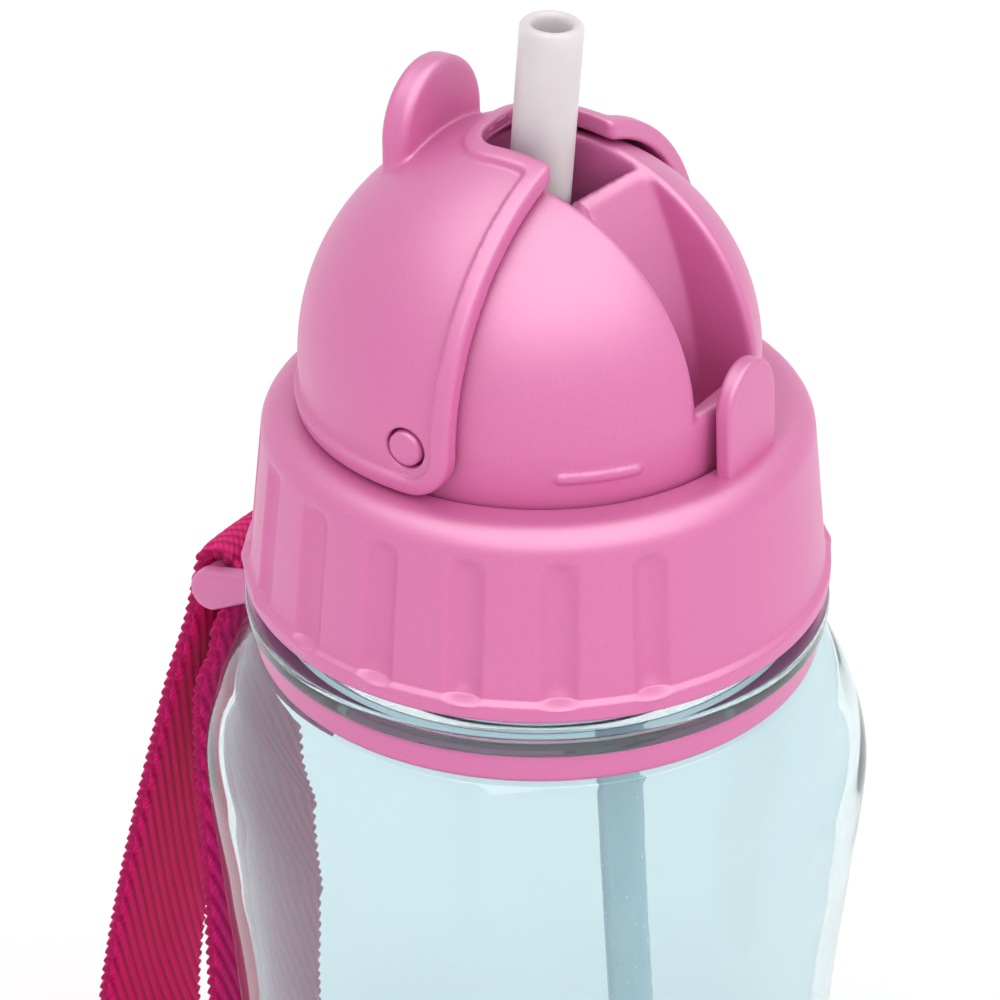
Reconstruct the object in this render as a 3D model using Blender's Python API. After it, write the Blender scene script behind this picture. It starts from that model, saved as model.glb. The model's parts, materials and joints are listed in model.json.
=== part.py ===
"""Kids water bottle: clear body, screw lid, flip cover, folding straw and a carry strap on a swivel ring.

Metres, +Z up, origin at the centre of the base. -Y is the front, where the straw folds down,
and +Y is the back, where the strap hangs. Heights are stacked from the base upwards.
"""

import math

import bmesh
import bpy
from mathutils import Matrix, Vector

MM = 0.001

# Running gaps
CLEAR = 0.3 * MM  # between pieces that touch or nearly touch
SWING = 0.4 * MM  # between the cover's edges and the collar under them
WELD = 0.01 * MM

# Dome: its ball sets the cover, the collar's opening, the neck and the strap ring
DOME_R = 22.8 * MM
DOME_WALL = 1.9 * MM
DOME_FOOT_INSET = 0.3 * MM
DOME_FLANGE_T = 1.8 * MM
DOME_FLANGE_GAP = 0.5 * MM  # flange to the collar's bore
SKIRT_H = 3.0 * MM
SKIRT_GAP = 1.4 * MM  # skirt to the neck's bore
SKIRT_WALL = 1.6 * MM

# Bottle body
BODY_R = 36.05 * MM
BODY_H = 114.2 * MM  # base to the seat of the strap ring
WALL = 2.0 * MM
FLOOR_T = 2.6 * MM
SHOULDER_H = 15.1 * MM
CHEST_DROP = 12.4 * MM  # from the widest point down to the first taper station
CHEST_INSET = 0.9 * MM
HIP_DROP = 27.6 * MM
HIP_INSET = 2.15 * MM
WAIST_INSET = 3.1 * MM
FOOT_H = 14.0 * MM
FOOT_INSET = 0.8 * MM
FOOT_ROUND = 6.0 * MM
PUNT_R = (10.0 * MM, 27.0 * MM)  # the recessed ring under the base
PUNT_DEPTH = 1.2 * MM

# Neck
NECK_OVER_DOME = 3.1 * MM  # the neck's radius past the dome's foot
NECK_WALL = 1.6 * MM
NECK_H = 15.2 * MM  # flange to lip
THROAT_STEP = 1.9 * MM  # the throat's radius past the neck's
FLANGE_LEDGE = 0.72 * MM  # the flange's radius past the lid collar's
FLANGE_T = 2.2 * MM

# Thread: one start, right-handed
PITCH = 4.5 * MM
TURNS = 1.25
THREAD_PROUD = 1.2 * MM
THREAD_ROOT_W = 1.9 * MM
THREAD_CREST_W = 0.9 * MM
THREAD_DROP = 2.4 * MM  # lip to the top of the neck's thread

# Strap ring and its lug
RING_H = 3.2 * MM
RING_WALL = 2.2 * MM
RING_GAP = 0.4 * MM
SEAT_LEDGE = 0.1 * MM  # the seat's radius past the ring's
BAR_R = 1.3 * MM
BAR_REACH = 4.9 * MM  # ring to the bar's centre, at the least
BAR_INSET = 1.05 * MM  # the bar's centre inside the body's widest radius, at the most
BAR_DROP = 0.5 * MM  # below the ring's underside
ARM_T = 2.4 * MM
ARM_NOSE_R = 2.1 * MM  # the arms' round ends
ARM_FLAT = 3.2 * MM  # level stretch of the arms' underside, over the bottle's shoulder

# Webbing
WEB_W = 20.0 * MM
WEB_T = 1.6 * MM
WEB_SIDE_GAP = 0.6 * MM
WEB_SHOULDER_GAP = 0.6 * MM  # webbing to the body's shoulder
WEB_BAR_GAP = 0.45 * MM  # webbing to the bar that it bends over
STRAP_FOOT = 10.4 * MM  # base to the centre line of the strap's lowest bend
STRAP_DROP = 103.6 * MM  # bar to that bend in the route's own points

# Lid collar
COLLAR_GAP = 1.8 * MM  # flange to the collar's rim
COLLAR_WALL = 3.25 * MM  # bore to the foot of the flutes
COLLAR_TAPER = 1.95 * MM
COLLAR_ROUND = 3.0 * MM
COLLAR_TOP_T = 2.0 * MM
RIM_H = 2.3 * MM
RIM_PROUD = 0.65 * MM
FLUTES_A_SIDE = 7
FLUTE_PITCH = math.radians(18.0)
FLUTE_R = 2.4 * MM
FLUTE_DEPTH = 0.75 * MM
FLUTE_TOP_DROP = 2.7 * MM

# Gasket
GASKET_T = 2.0 * MM

# Straw
STRAW_R = 3.2 * MM
STRAW_BORE_R = 2.0 * MM
STRAW_RISE = 13.3 * MM  # the straw's tip above the dome's top
STRAW_TIP_Y = -1.3 * MM
STRAW_LEAN = 0.0725  # forward travel for each unit of height
STRAW_SPLIT_H = 12.6 * MM  # where the moving stretch starts, above the pivot
COLLET_WALL = 1.1 * MM
COLLET_T = 2.0 * MM
COLLET_GAP = 0.1 * MM  # the leaning collet's lowest point to the pocket's floor
PLUG_T = 3.6 * MM
PLUG_RIM = 0.5 * MM  # the plug's ends past the nozzle
NOZZLE_Y = -7.6 * MM
NOZZLE_WALL = 1.2 * MM
NOZZLE_H = 8.0 * MM
LOWER_STRAW_R = 2.5 * MM
LOWER_STRAW_BORE_R = 1.8 * MM
LOWER_LEAN = 0.074
LOWER_STRAW_LIFT = 5.0 * MM  # inside floor to the straw's end
LOWER_STRAW_GRIP = 6.0 * MM

# Straw channel, its front wall, and the pocket and guide behind it; heights are from the pivot
CHANNEL_W = 11.4 * MM
CHANNEL_WALL = 1.6 * MM
CHANNEL_FLOOR = -5.0 * MM
FRONT_WALL_TOP = 1.2 * MM
FRONT_WALL_T = 1.7 * MM
POCKET_FLOOR = 4.0 * MM
POCKET_GAP = 0.67 * MM  # behind the collet
GUIDE_T = 1.3 * MM
GUIDE_LIP_GAP = 0.8 * MM  # the guide's lip inside the straw's front at its tip
GUIDE_LIP_SWEEP = 3.8 * MM  # how far forward the lip's sides are of its middle
GUIDE_LIP_SAG = 2.55 * MM  # how far the lip's middle is below its sides
GUIDE_FOOT_SET = 4.8 * MM  # the guide's foot behind the front wall
GUIDE_FOOT_SWEEP = 3.0 * MM

# Pivot bosses and stop ribs
BOSS_R = 1.85 * MM
BOSS_PROUD = 0.3 * MM  # boss face past the cover's face
RIB_SPAN = (36.0, 58.0)  # degrees from -X towards the front
RIB_DROP = 2.3 * MM
RIB_H = 1.0 * MM
RIB_PROUD = 0.4 * MM

# Cover
COVER_GAP = 0.6 * MM
COVER_T = 1.24 * MM
EDGE_R = 5.0 * MM  # pivot to the cover's front and lower edges
BEAD_W = 1.9 * MM
BEAD_PROUD = 0.7 * MM
NOTCH_INSET = 0.1 * MM  # the notch is narrower than the channel by this
NOTCH_DEPTH = 4.6 * MM  # past the pivot
NOTCH_ROUND = 3.2 * MM
TAB_W = 14.2 * MM
TAB_Y = (11.2 * MM, 14.5 * MM)
TAB_RISE = 4.6 * MM  # above the cover's top

# Tongue that stands on the collar and fills the cover's notch
TONGUE_SIDE_GAP = 1.2 * MM
TONGUE_TOP = 5.4 * MM  # above the pivot
TONGUE_SKIN = (0.2 * MM, 0.66 * MM)  # inside face past the cover's inside, outside past its outside

# Vent valve in the floor of the straw channel
VENT_STEM_R = 1.3 * MM
VENT_DISC_R = 2.6 * MM
VENT_DISC_T = 1.0 * MM
VENT_BILL_L = 3.4 * MM
VENT_WALL_GAP = 0.4 * MM  # disc to the front wall

# Fineness
ROUND_STEPS = 48
ARC_STEPS = 11
BODY_STEPS = 13
PIN_STEPS = 20
REACH = 60.0 * MM

# Radii that follow from the dome
DOME_FOOT_R = DOME_R - DOME_FOOT_INSET
COVER_IN_R = DOME_R + COVER_GAP
COVER_R = COVER_IN_R + COVER_T
TONGUE_R = (COVER_IN_R + TONGUE_SKIN[0], COVER_R + TONGUE_SKIN[1])
NECK_R = DOME_FOOT_R + NECK_OVER_DOME
SKIRT_R = NECK_R - NECK_WALL - SKIRT_GAP
CAP_BORE_R = NECK_R + THREAD_PROUD + CLEAR
DOME_FLANGE_R = CAP_BORE_R - DOME_FLANGE_GAP
COLLAR_R = CAP_BORE_R + COLLAR_WALL
FLANGE_R = COLLAR_R + FLANGE_LEDGE
THROAT_R = NECK_R + THROAT_STEP
RING_R = THROAT_R + RING_GAP + RING_WALL
SEAT_R = RING_R + SEAT_LEDGE
BAR_Y = max(RING_R + BAR_REACH, BODY_R - BAR_INSET)
WEB_BEND_R = BAR_R + WEB_BAR_GAP + WEB_T / 2

# Widths and places that follow from the channel and the straw
NOTCH_W = CHANNEL_W - NOTCH_INSET
TONGUE_W = NOTCH_W - 2 * TONGUE_SIDE_GAP
CHANNEL_FRONT = math.sqrt(DOME_R**2 - (CHANNEL_W / 2) ** 2) - FRONT_WALL_T
GUIDE_FOOT_SIDE = GUIDE_FOOT_SET - CHANNEL_FRONT
GUIDE_FOOT_MID = GUIDE_FOOT_SIDE + GUIDE_FOOT_SWEEP
GUIDE_LIP_MID_Y = STRAW_TIP_Y - STRAW_R - GUIDE_T + GUIDE_LIP_GAP
GUIDE_LIP_SIDE_Y = GUIDE_LIP_MID_Y - GUIDE_LIP_SWEEP
GUIDE_LIP_SIDE_H = math.sqrt(DOME_R**2 - GUIDE_LIP_SIDE_Y**2 - (CHANNEL_W / 2) ** 2)
GUIDE_LIP_MID_H = GUIDE_LIP_SIDE_H - GUIDE_LIP_SAG
VENT_Y = VENT_DISC_R + VENT_WALL_GAP - CHANNEL_FRONT
STRAW_TIP_H = DOME_R + STRAW_RISE
COLLET_R = STRAW_R + COLLET_WALL
COLLET_Y = STRAW_TIP_Y + (STRAW_TIP_H - POCKET_FLOOR) * STRAW_LEAN
POCKET_BACK = COLLET_Y + COLLET_R + POCKET_GAP
NOZZLE_R = LOWER_STRAW_R + CLEAR + NOZZLE_WALL
PLUG_END_R = NOZZLE_R + PLUG_RIM

# Heights that follow from the stack
RING_Z = BODY_H + CLEAR
FLANGE_Z = RING_Z + RING_H + CLEAR
NECK_Z = FLANGE_Z + FLANGE_T
LIP_Z = NECK_Z + NECK_H
COLLAR_Z = NECK_Z + COLLAR_GAP
GASKET_Z = LIP_Z + CLEAR
DOME_Z = GASKET_Z + GASKET_T + CLEAR
COLLAR_CEILING_Z = DOME_Z + DOME_FLANGE_T + CLEAR
COLLAR_TOP_Z = COLLAR_CEILING_Z + COLLAR_TOP_T
PIVOT_Z = COLLAR_TOP_Z + SWING + EDGE_R
BAR_Z = RING_Z - BAR_DROP
WEB_FLOOR_Z = DOME_Z - PIVOT_Z + DOME_FLANGE_T + 0.1 * MM  # underside of the dome's middle web


def clear_scene():
    for obj in list(bpy.data.objects):
        bpy.data.objects.remove(obj, do_unlink=True)


def plastic(name, colour, roughness, transmission=0.0, alpha=1.0):
    material = bpy.data.materials.new(name)
    material.use_nodes = True
    shader = material.node_tree.nodes["Principled BSDF"]
    shader.inputs["Base Color"].default_value = (*colour, 1.0)
    shader.inputs["Roughness"].default_value = roughness
    shader.inputs["Metallic"].default_value = 0.0
    shader.inputs["Transmission Weight"].default_value = transmission
    shader.inputs["Alpha"].default_value = alpha
    return material


def finished(name, shape, material=None, origin=(0, 0, 0)):
    """Links the bmesh as an object whose origin is at that point."""
    bmesh.ops.recalc_face_normals(shape, faces=shape.faces)
    bmesh.ops.translate(shape, verts=shape.verts, vec=-Vector(origin))
    mesh = bpy.data.meshes.new(name)
    shape.to_mesh(mesh)
    shape.free()
    mesh.shade_smooth()
    mesh.set_sharp_from_angle(angle=math.radians(35))
    obj = bpy.data.objects.new(name, mesh)
    obj.location = origin
    if material:
        mesh.materials.append(material)
    bpy.context.scene.collection.objects.link(obj)
    return obj


def combine(target, helper, operation):
    """Adds a Boolean and hides the object that it uses."""
    modifier = target.modifiers.new(operation.title() + " " + helper.name, "BOOLEAN")
    modifier.operation = operation
    modifier.solver = "EXACT"
    modifier.object = helper
    helper.hide_render = True
    helper.display_type = "WIRE"
    return target


def turned(name, outline, material=None, on_axis=False, origin=(0, 0, 0), steps=ROUND_STEPS):
    """Spins (radius, height) points about Z: a closed outline, or one whose ends are on the axis."""
    shape = bmesh.new()
    points = [shape.verts.new((radius, 0.0, height)) for radius, height in outline]
    ends = points[1:] if on_axis else points[1:] + points[:1]
    edges = [shape.edges.new(pair) for pair in zip(points, ends)]
    bmesh.ops.spin(
        shape,
        geom=points + edges,
        axis=(0, 0, 1),
        cent=(0, 0, 0),
        steps=steps,
        angle=2 * math.pi,
        use_merge=True,
    )
    bmesh.ops.remove_doubles(shape, verts=shape.verts, dist=WELD)
    return finished(name, shape, material, origin)


def prism(name, outline, low, high, axis, material=None, origin=(0, 0, 0)):
    """Extrudes an outline in the plane across the axis: (y, z) for X, (x, z) for Y, (x, y) for Z."""
    place = {
        "X": lambda a, b: Vector((low, a, b)),
        "Y": lambda a, b: Vector((a, low, b)),
        "Z": lambda a, b: Vector((a, b, low)),
    }[axis]
    along = {"X": (1, 0, 0), "Y": (0, 1, 0), "Z": (0, 0, 1)}[axis]
    shape = bmesh.new()
    face = shape.faces.new([shape.verts.new(place(a, b)) for a, b in outline])
    grown = bmesh.ops.extrude_face_region(shape, geom=[face])
    moved = [item for item in grown["geom"] if isinstance(item, bmesh.types.BMVert)]
    bmesh.ops.translate(shape, verts=moved, vec=Vector(along) * (high - low))
    bmesh.ops.triangulate(shape, faces=[f for f in shape.faces if len(f.verts) > 4])
    return finished(name, shape, material, origin)


def lofted(name, bodies, material=None, closed=False, origin=(0, 0, 0)):
    """Skins each list of sections, all with as many points, and caps the ends unless it is a loop."""
    shape = bmesh.new()
    for sections in bodies:
        rings = [[shape.verts.new(point) for point in section] for section in sections]
        followers = rings[1:] + rings[:1] if closed else rings[1:]
        for ring, after in zip(rings, followers):
            for i in range(len(ring)):
                j = (i + 1) % len(ring)
                shape.faces.new((ring[i], ring[j], after[j], after[i]))
        if not closed:
            shape.faces.new(rings[0][::-1])
            shape.faces.new(rings[-1])
    bmesh.ops.triangulate(shape, faces=shape.faces)
    return finished(name, shape, material, origin)


def rod(name, start, end, radius, material=None, steps=PIN_STEPS, origin=(0, 0, 0)):
    start, end = Vector(start), Vector(end)
    turn = (end - start).to_track_quat("Z", "Y").to_matrix().to_4x4()
    shape = bmesh.new()
    bmesh.ops.create_cone(
        shape,
        cap_ends=True,
        segments=steps,
        radius1=radius,
        radius2=radius,
        depth=(end - start).length,
        matrix=Matrix.Translation((start + end) / 2) @ turn,
    )
    return finished(name, shape, material, origin)


def arc(centre, radius, start, end, steps=ARC_STEPS):
    """Points on an arc, with angles in degrees."""
    angles = [math.radians(start + (end - start) * i / steps) for i in range(steps + 1)]
    return [(centre[0] + radius * math.cos(a), centre[1] + radius * math.sin(a)) for a in angles]


def ball_outline(radius, lowest):
    """An outline's outer points, from that height up to the pole."""
    start = math.degrees(math.asin(lowest / radius))
    points = arc((0.0, 0.0), radius, start, 90.0)
    return points[:-1] + [(0.0, radius)]


def lifted(points, height):
    return [(a, b + height) for a, b in points]


def smooth_curve(stations, steps):
    """(height, radius) points on a monotone cubic through the stations."""
    heights = [h for h, _ in stations]
    radii = [r for _, r in stations]
    spans = [b - a for a, b in zip(heights, heights[1:])]
    rises = [(b - a) / s for a, b, s in zip(radii, radii[1:], spans)]
    slopes = [rises[0]]
    for before, after in zip(rises, rises[1:]):
        slopes.append(0.0 if before * after <= 0 else 2 * before * after / (before + after))
    slopes.append(rises[-1])
    points = []
    for i in range(steps + 1):
        height = heights[0] + (heights[-1] - heights[0]) * i / steps
        k = max(j for j in range(len(spans)) if j == 0 or (height - heights[j]) * spans[j] >= 0)
        t = (height - heights[k]) / spans[k]
        radius = (
            (2 * t**3 - 3 * t**2 + 1) * radii[k]
            + (t**3 - 2 * t**2 + t) * spans[k] * slopes[k]
            + (3 * t**2 - 2 * t**3) * radii[k + 1]
            + (t**3 - t**2) * spans[k] * slopes[k + 1]
        )
        points.append((height, radius))
    return points


def straw_axis(height):
    """The upper straw's centre at that height above the pivot, in world coordinates."""
    return Vector((0.0, STRAW_TIP_Y + (STRAW_TIP_H - height) * STRAW_LEAN, PIVOT_Z + height))


def body_radii():
    widest = BODY_H - SHOULDER_H
    return smooth_curve(
        [
            (BODY_H, SEAT_R),
            (BODY_H - 0.44 * SHOULDER_H, SEAT_R + 0.64 * (BODY_R - SEAT_R)),
            (widest, BODY_R),
            (widest - CHEST_DROP, BODY_R - CHEST_INSET),
            (widest - HIP_DROP, BODY_R - HIP_INSET),
            (0.44 * BODY_H, BODY_R - WAIST_INSET),
            (FOOT_H, BODY_R - FOOT_INSET),
            (FOOT_ROUND, BODY_R - FOOT_INSET),
        ],
        BODY_STEPS,
    )


def body_radius_at(height):
    """The body's outside radius at that height."""
    stations = body_radii()
    for (high, upper), (low, lower) in zip(stations, stations[1:]):
        if low <= height <= high:
            return upper + (lower - upper) * (high - height) / (high - low)
    return SEAT_R


def beside_body(height, gap):
    """The radius of a point at that height and that far from the body, square to its side."""
    slope = (body_radius_at(height - MM) - body_radius_at(height + MM)) / (2 * MM)
    return body_radius_at(height) + gap * math.hypot(1.0, slope)


def thread_ridge(name, root, crest, top):
    """A helical ridge that starts at that height and winds down; its ends fade into the root."""
    count = int(ROUND_STEPS * TURNS)
    sections = []
    for i in range(count + 1):
        angle = -2 * math.pi * i / ROUND_STEPS
        height = top - PITCH * i / ROUND_STEPS
        fade = min(1.0, (i + 0.5) / 5, (count - i + 0.5) / 5)
        radii = (root, root + (crest - root) * fade)
        widths = (THREAD_ROOT_W / 2, THREAD_CREST_W / 2)
        corners = [
            (radii[0], widths[0]),
            (radii[1], widths[1]),
            (radii[1], -widths[1]),
            (radii[0], -widths[0]),
        ]
        turn = Vector((math.cos(angle), math.sin(angle)))
        sections.append([(*(turn * r), height + w) for r, w in corners])
    return lofted(name, [sections])


def bottle_body(material):
    """A clear bottle with a flat centre under its base, a waist, a ring seat, a flange and a thread."""
    outside = [(radius, height) for height, radius in body_radii()]
    foot_r = outside[-1][0]
    corner = arc((foot_r - FOOT_ROUND, FOOT_ROUND), FOOT_ROUND, 0, -90, 5)
    inside = [(radius - WALL, height) for radius, height in outside]
    inside_foot = FOOT_ROUND - WALL
    inside_corner = arc(
        (foot_r - WALL - inside_foot, FLOOR_T + inside_foot), inside_foot, 0, -90, 4
    )
    bore_r = NECK_R - NECK_WALL
    slope = PUNT_DEPTH * 1.5
    outline = (
        [(0.0, 0.0), (PUNT_R[0], 0.0), (PUNT_R[0] + slope, PUNT_DEPTH)]
        + [(PUNT_R[1] - slope, PUNT_DEPTH), (PUNT_R[1], 0.0)]
        + corner[::-1]
        + outside[-2::-1]
        + [(THROAT_R, BODY_H), (THROAT_R, FLANGE_Z)]
        + [(FLANGE_R, FLANGE_Z), (FLANGE_R, NECK_Z), (NECK_R, NECK_Z)]
        + [(NECK_R, LIP_Z), (bore_r, LIP_Z), (bore_r, NECK_Z)]
        + [(THROAT_R - WALL, FLANGE_Z), (THROAT_R - WALL, BODY_H)]
        + inside[2:-2]
        + inside_corner
        + [(0.0, FLOOR_T)]
    )
    body = turned("bottle_body", outline, material, on_axis=True)
    ridge = thread_ridge(
        "neck_thread", NECK_R - CLEAR, NECK_R + THREAD_PROUD, LIP_Z - THREAD_DROP
    )
    return combine(body, ridge, "UNION")


def strap_ring(material):
    """The ring that turns between the seat and the flange, with two arms and a bar for the webbing."""
    inner = THROAT_R + RING_GAP
    centre = (0.0, 0.0, RING_Z + RING_H / 2)
    outline = [(inner, RING_Z), (RING_R, RING_Z)]
    outline += [(RING_R, RING_Z + RING_H), (inner, RING_Z + RING_H)]
    ring = turned("strap_ring", outline, material, origin=centre)
    half = WEB_W / 2 + WEB_SIDE_GAP
    nose = (BAR_Y, BAR_Z)
    side = arc(nose, ARM_NOSE_R, 90, -90, 8)
    root = math.sqrt(RING_R**2 - (half + ARM_T) ** 2) - 1.2 * MM
    under = RING_Z + 0.2 * MM
    side += [(root + ARM_FLAT, under), (root, under), (root, RING_Z + RING_H - 0.2 * MM)]
    for x, label in ((-half - ARM_T, "near"), (half, "far")):
        arm = prism("lug_arm_" + label, side, x, x + ARM_T, "X")
        combine(ring, arm, "UNION")
    reach = half + ARM_T / 2
    bar = rod("lug_bar", (-reach, BAR_Y, BAR_Z), (reach, BAR_Y, BAR_Z), BAR_R)
    return combine(ring, bar, "UNION")


def webbing_route():
    """The webbing's centre line as (y, z): over the bar, down the outside, round and up the inside."""
    over = arc((BAR_Y, BAR_Z), WEB_BEND_R, 170, 10, 8)
    out = BODY_R + CLEAR + WEB_T / 2
    stretch = (BAR_Z - STRAP_FOOT) / STRAP_DROP
    outer = [(2.1, 8.0), (5.2, 17.0), (8.9, 29.5), (12.4, 42.0), (15.7, 55.0), (18.5, 68.0)]
    outer += [(20.1, 80.0), (19.9, 91.0), (17.6, 99.5)]
    inner = [(12.8, 103.6), (8.0, 100.0), (4.6, 91.0), (2.8, 78.0), (2.0, 64.0), (1.8, 50.0)]
    inner += [(1.9, 38.0), (2.1, 26.0), (1.6, 17.0)]
    route = over
    route += [(BAR_Y + WEB_BEND_R + y * MM, BAR_Z - z * MM * stretch) for y, z in outer]
    route += [(out + y * MM, BAR_Z - z * MM * stretch) for y, z in inner]
    for drop in (11.5, 8.2, 5.0):
        height = BAR_Z - drop * MM
        route.append((beside_body(height, WEB_SHOULDER_GAP + WEB_T / 2), height))
    return route


def strap_webbing(material):
    """A closed loop of flat webbing through the lug."""
    route = webbing_route()
    count = len(route)
    fine = []
    for i in range(count):
        p0, p1, p2, p3 = (Vector(route[(i + k) % count]) for k in (-1, 0, 1, 2))
        for t in (0.0, 0.5):
            point = p1 * 2 + (p2 - p0) * t + (p0 * 2 - p1 * 5 + p2 * 4 - p3) * t**2
            point += (p1 * 3 - p0 - p2 * 3 + p3) * t**3
            fine.append(point / 2)
    sections = []
    for i, point in enumerate(fine):
        along = (fine[(i + 1) % len(fine)] - fine[i - 1]).normalized()
        across = Vector((-along.y, along.x)) * WEB_T / 2
        section = []
        for x, side in ((-1, -1), (1, -1), (1, 1), (-1, 1)):
            y, z = point + across * side
            section.append((x * WEB_W / 2, y, z))
        sections.append(section)
    return lofted("strap_webbing", [sections], material, closed=True, origin=(0, BAR_Y, BAR_Z))


def collar_radius(height):
    """The plain skirt's radius at that height, between the shoulder and the rim."""
    share = (COLLAR_TOP_Z - height) / (COLLAR_TOP_Z - COLLAR_Z)
    return COLLAR_R - COLLAR_TAPER * (1.0 - share)


def flute_cutters():
    """Shallow upright grooves on both sides that fade out under the shoulder and stop on the rim."""
    foot = COLLAR_Z + RIM_H
    top = COLLAR_TOP_Z - FLUTE_TOP_DROP
    bodies = []
    half_fan = (FLUTES_A_SIDE - 1) / 2
    fan = [(k - half_fan) * FLUTE_PITCH for k in range(FLUTES_A_SIDE)]
    for angle in [a + side for side in (0.0, math.pi) for a in fan]:
        out = Vector((math.cos(angle), math.sin(angle), 0.0))
        side = Vector((-out.y, out.x, 0.0))
        sections = []
        for height, fade in ((foot, 1.0), (top - 3.0 * MM, 1.0), (top - 1.0 * MM, 0.6), (top, -0.3)):
            centre = collar_radius(height) + FLUTE_R - FLUTE_DEPTH * fade
            ring = arc((centre, 0.0), FLUTE_R, 0, 360, 12)[:-1]
            sections.append([out * a + side * b + Vector((0, 0, height)) for a, b in ring])
        bodies.append(sections)
    return lofted("flute_cutters", bodies)


def tongue():
    """A round-topped tab that follows the dome, centred at the front."""
    low, high = -1.6 * MM - SWING - EDGE_R, TONGUE_TOP + 3.0 * MM
    outline = []
    for radius, reverse in ((TONGUE_R[1], False), (TONGUE_R[0], True)):
        ends = [math.degrees(math.asin(height / radius)) for height in (low, high)]
        points = arc((0.0, 0.0), radius, *(ends[::-1] if reverse else ends), 8)
        outline += lifted(points, PIVOT_Z)
    shell = turned("tongue_shell", outline)
    half = TONGUE_W / 2
    front = [(half, PIVOT_Z + low - 1.0 * MM)]
    front += arc((0.0, PIVOT_Z + TONGUE_TOP - half), half, 0, 180, 12)
    front += [(-half, PIVOT_Z + low - 1.0 * MM)]
    face = prism("tongue_face", front, -REACH, -DOME_R / 2, "Y")
    return combine(shell, face, "INTERSECT")


def lid_collar(material):
    """The screw collar: flat top, fluted skirt, rim bead, bore with its thread, and the tongue."""
    opening = DOME_FOOT_R + SWING
    shoulder = collar_radius(COLLAR_TOP_Z - COLLAR_ROUND)
    corner = arc(
        (shoulder - COLLAR_ROUND, COLLAR_TOP_Z - COLLAR_ROUND), COLLAR_ROUND, 90, 0, 5
    )
    rim_top = COLLAR_Z + RIM_H
    rim = [(COLLAR_R, rim_top), (COLLAR_R + RIM_PROUD, rim_top - 0.5 * MM)]
    rim += [(COLLAR_R + RIM_PROUD, COLLAR_Z + 0.5 * MM), (COLLAR_R, COLLAR_Z)]
    outline = [(opening, COLLAR_TOP_Z)] + corner + rim
    outline += [(CAP_BORE_R, COLLAR_Z), (CAP_BORE_R, COLLAR_CEILING_Z)]
    outline += [(opening, COLLAR_CEILING_Z)]
    collar = turned("lid_collar", outline, material)
    ridge = thread_ridge(
        "lid_thread",
        CAP_BORE_R + CLEAR,
        NECK_R + CLEAR,
        LIP_Z - THREAD_DROP - PITCH / 2,
    )
    combine(collar, flute_cutters(), "DIFFERENCE")
    combine(collar, ridge, "UNION")
    return combine(collar, tongue(), "UNION")


def lid_gasket(material):
    """A flat silicone ring between the dome's flange and the bottle's lip."""
    inner, outer = SKIRT_R + CLEAR, DOME_FLANGE_R - CLEAR
    outline = [(inner, GASKET_Z), (outer, GASKET_Z)]
    outline += [(outer, GASKET_Z + GASKET_T), (inner, GASKET_Z + GASKET_T)]
    return turned("lid_gasket", outline, material)


def guide_front(x, share):
    """(y, z) on the front of the straw guide: share 0 at its foot, 1 at its lip."""
    side = min(1.0, abs(x) / (CHANNEL_W / 2))
    lip_y = GUIDE_LIP_MID_Y - GUIDE_LIP_SWEEP * side
    lip_z = GUIDE_LIP_MID_H + GUIDE_LIP_SAG * side
    foot_y = GUIDE_FOOT_MID + (GUIDE_FOOT_SIDE - GUIDE_FOOT_MID) * side
    foot_z = CHANNEL_FLOOR - 0.5 * MM
    return foot_y + (lip_y - foot_y) * share**2, foot_z + (lip_z - foot_z) * share


def straw_guide():
    """The V-shaped wall that the straw folds over, between the channel and the pocket."""
    half = CHANNEL_W / 2 + CHANNEL_WALL / 2
    sections = []
    for x in (-half, -CHANNEL_W / 4, 0.0, CHANNEL_W / 4, half):
        front = [guide_front(x, i / 8) for i in range(9)]
        back_y = front[-1][0] + GUIDE_T
        section = [(x, y, z + PIVOT_Z) for y, z in front]
        section += [(x, back_y, front[-1][1] + PIVOT_Z), (x, back_y, front[0][1] + PIVOT_Z)]
        sections.append(section)
    return lofted("straw_guide", [sections])


def dome_cavity():
    """What is hollow inside the dome, either side of the channel."""
    radius = DOME_R - DOME_WALL
    outline = [(0.0, WEB_FLOOR_Z - 1.0 * MM), (radius, WEB_FLOOR_Z - 1.0 * MM)]
    outline += ball_outline(radius, 0.0)
    hollow = turned("dome_cavity", lifted(outline, PIVOT_Z), on_axis=True)
    half = CHANNEL_W / 2 + CHANNEL_WALL
    square = [(-half, -REACH), (half, -REACH), (half, REACH), (-half, REACH)]
    web = prism("channel_web", square, 0.0, REACH * 4, "Z")
    return combine(hollow, web, "DIFFERENCE")


def dome_slot():
    """The straw channel at the front and the pocket behind it, as one side outline."""
    step = GUIDE_LIP_SIDE_Y - 0.6 * MM
    outline = [(-REACH, REACH), (-REACH, FRONT_WALL_TOP), (-CHANNEL_FRONT, FRONT_WALL_TOP)]
    outline += [(-CHANNEL_FRONT, CHANNEL_FLOOR), (step, CHANNEL_FLOOR), (step, POCKET_FLOOR)]
    outline += [(POCKET_BACK, POCKET_FLOOR), (POCKET_BACK, REACH)]
    half = CHANNEL_W / 2
    return prism("dome_slot", lifted(outline, PIVOT_Z), -half, half, "X")


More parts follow.
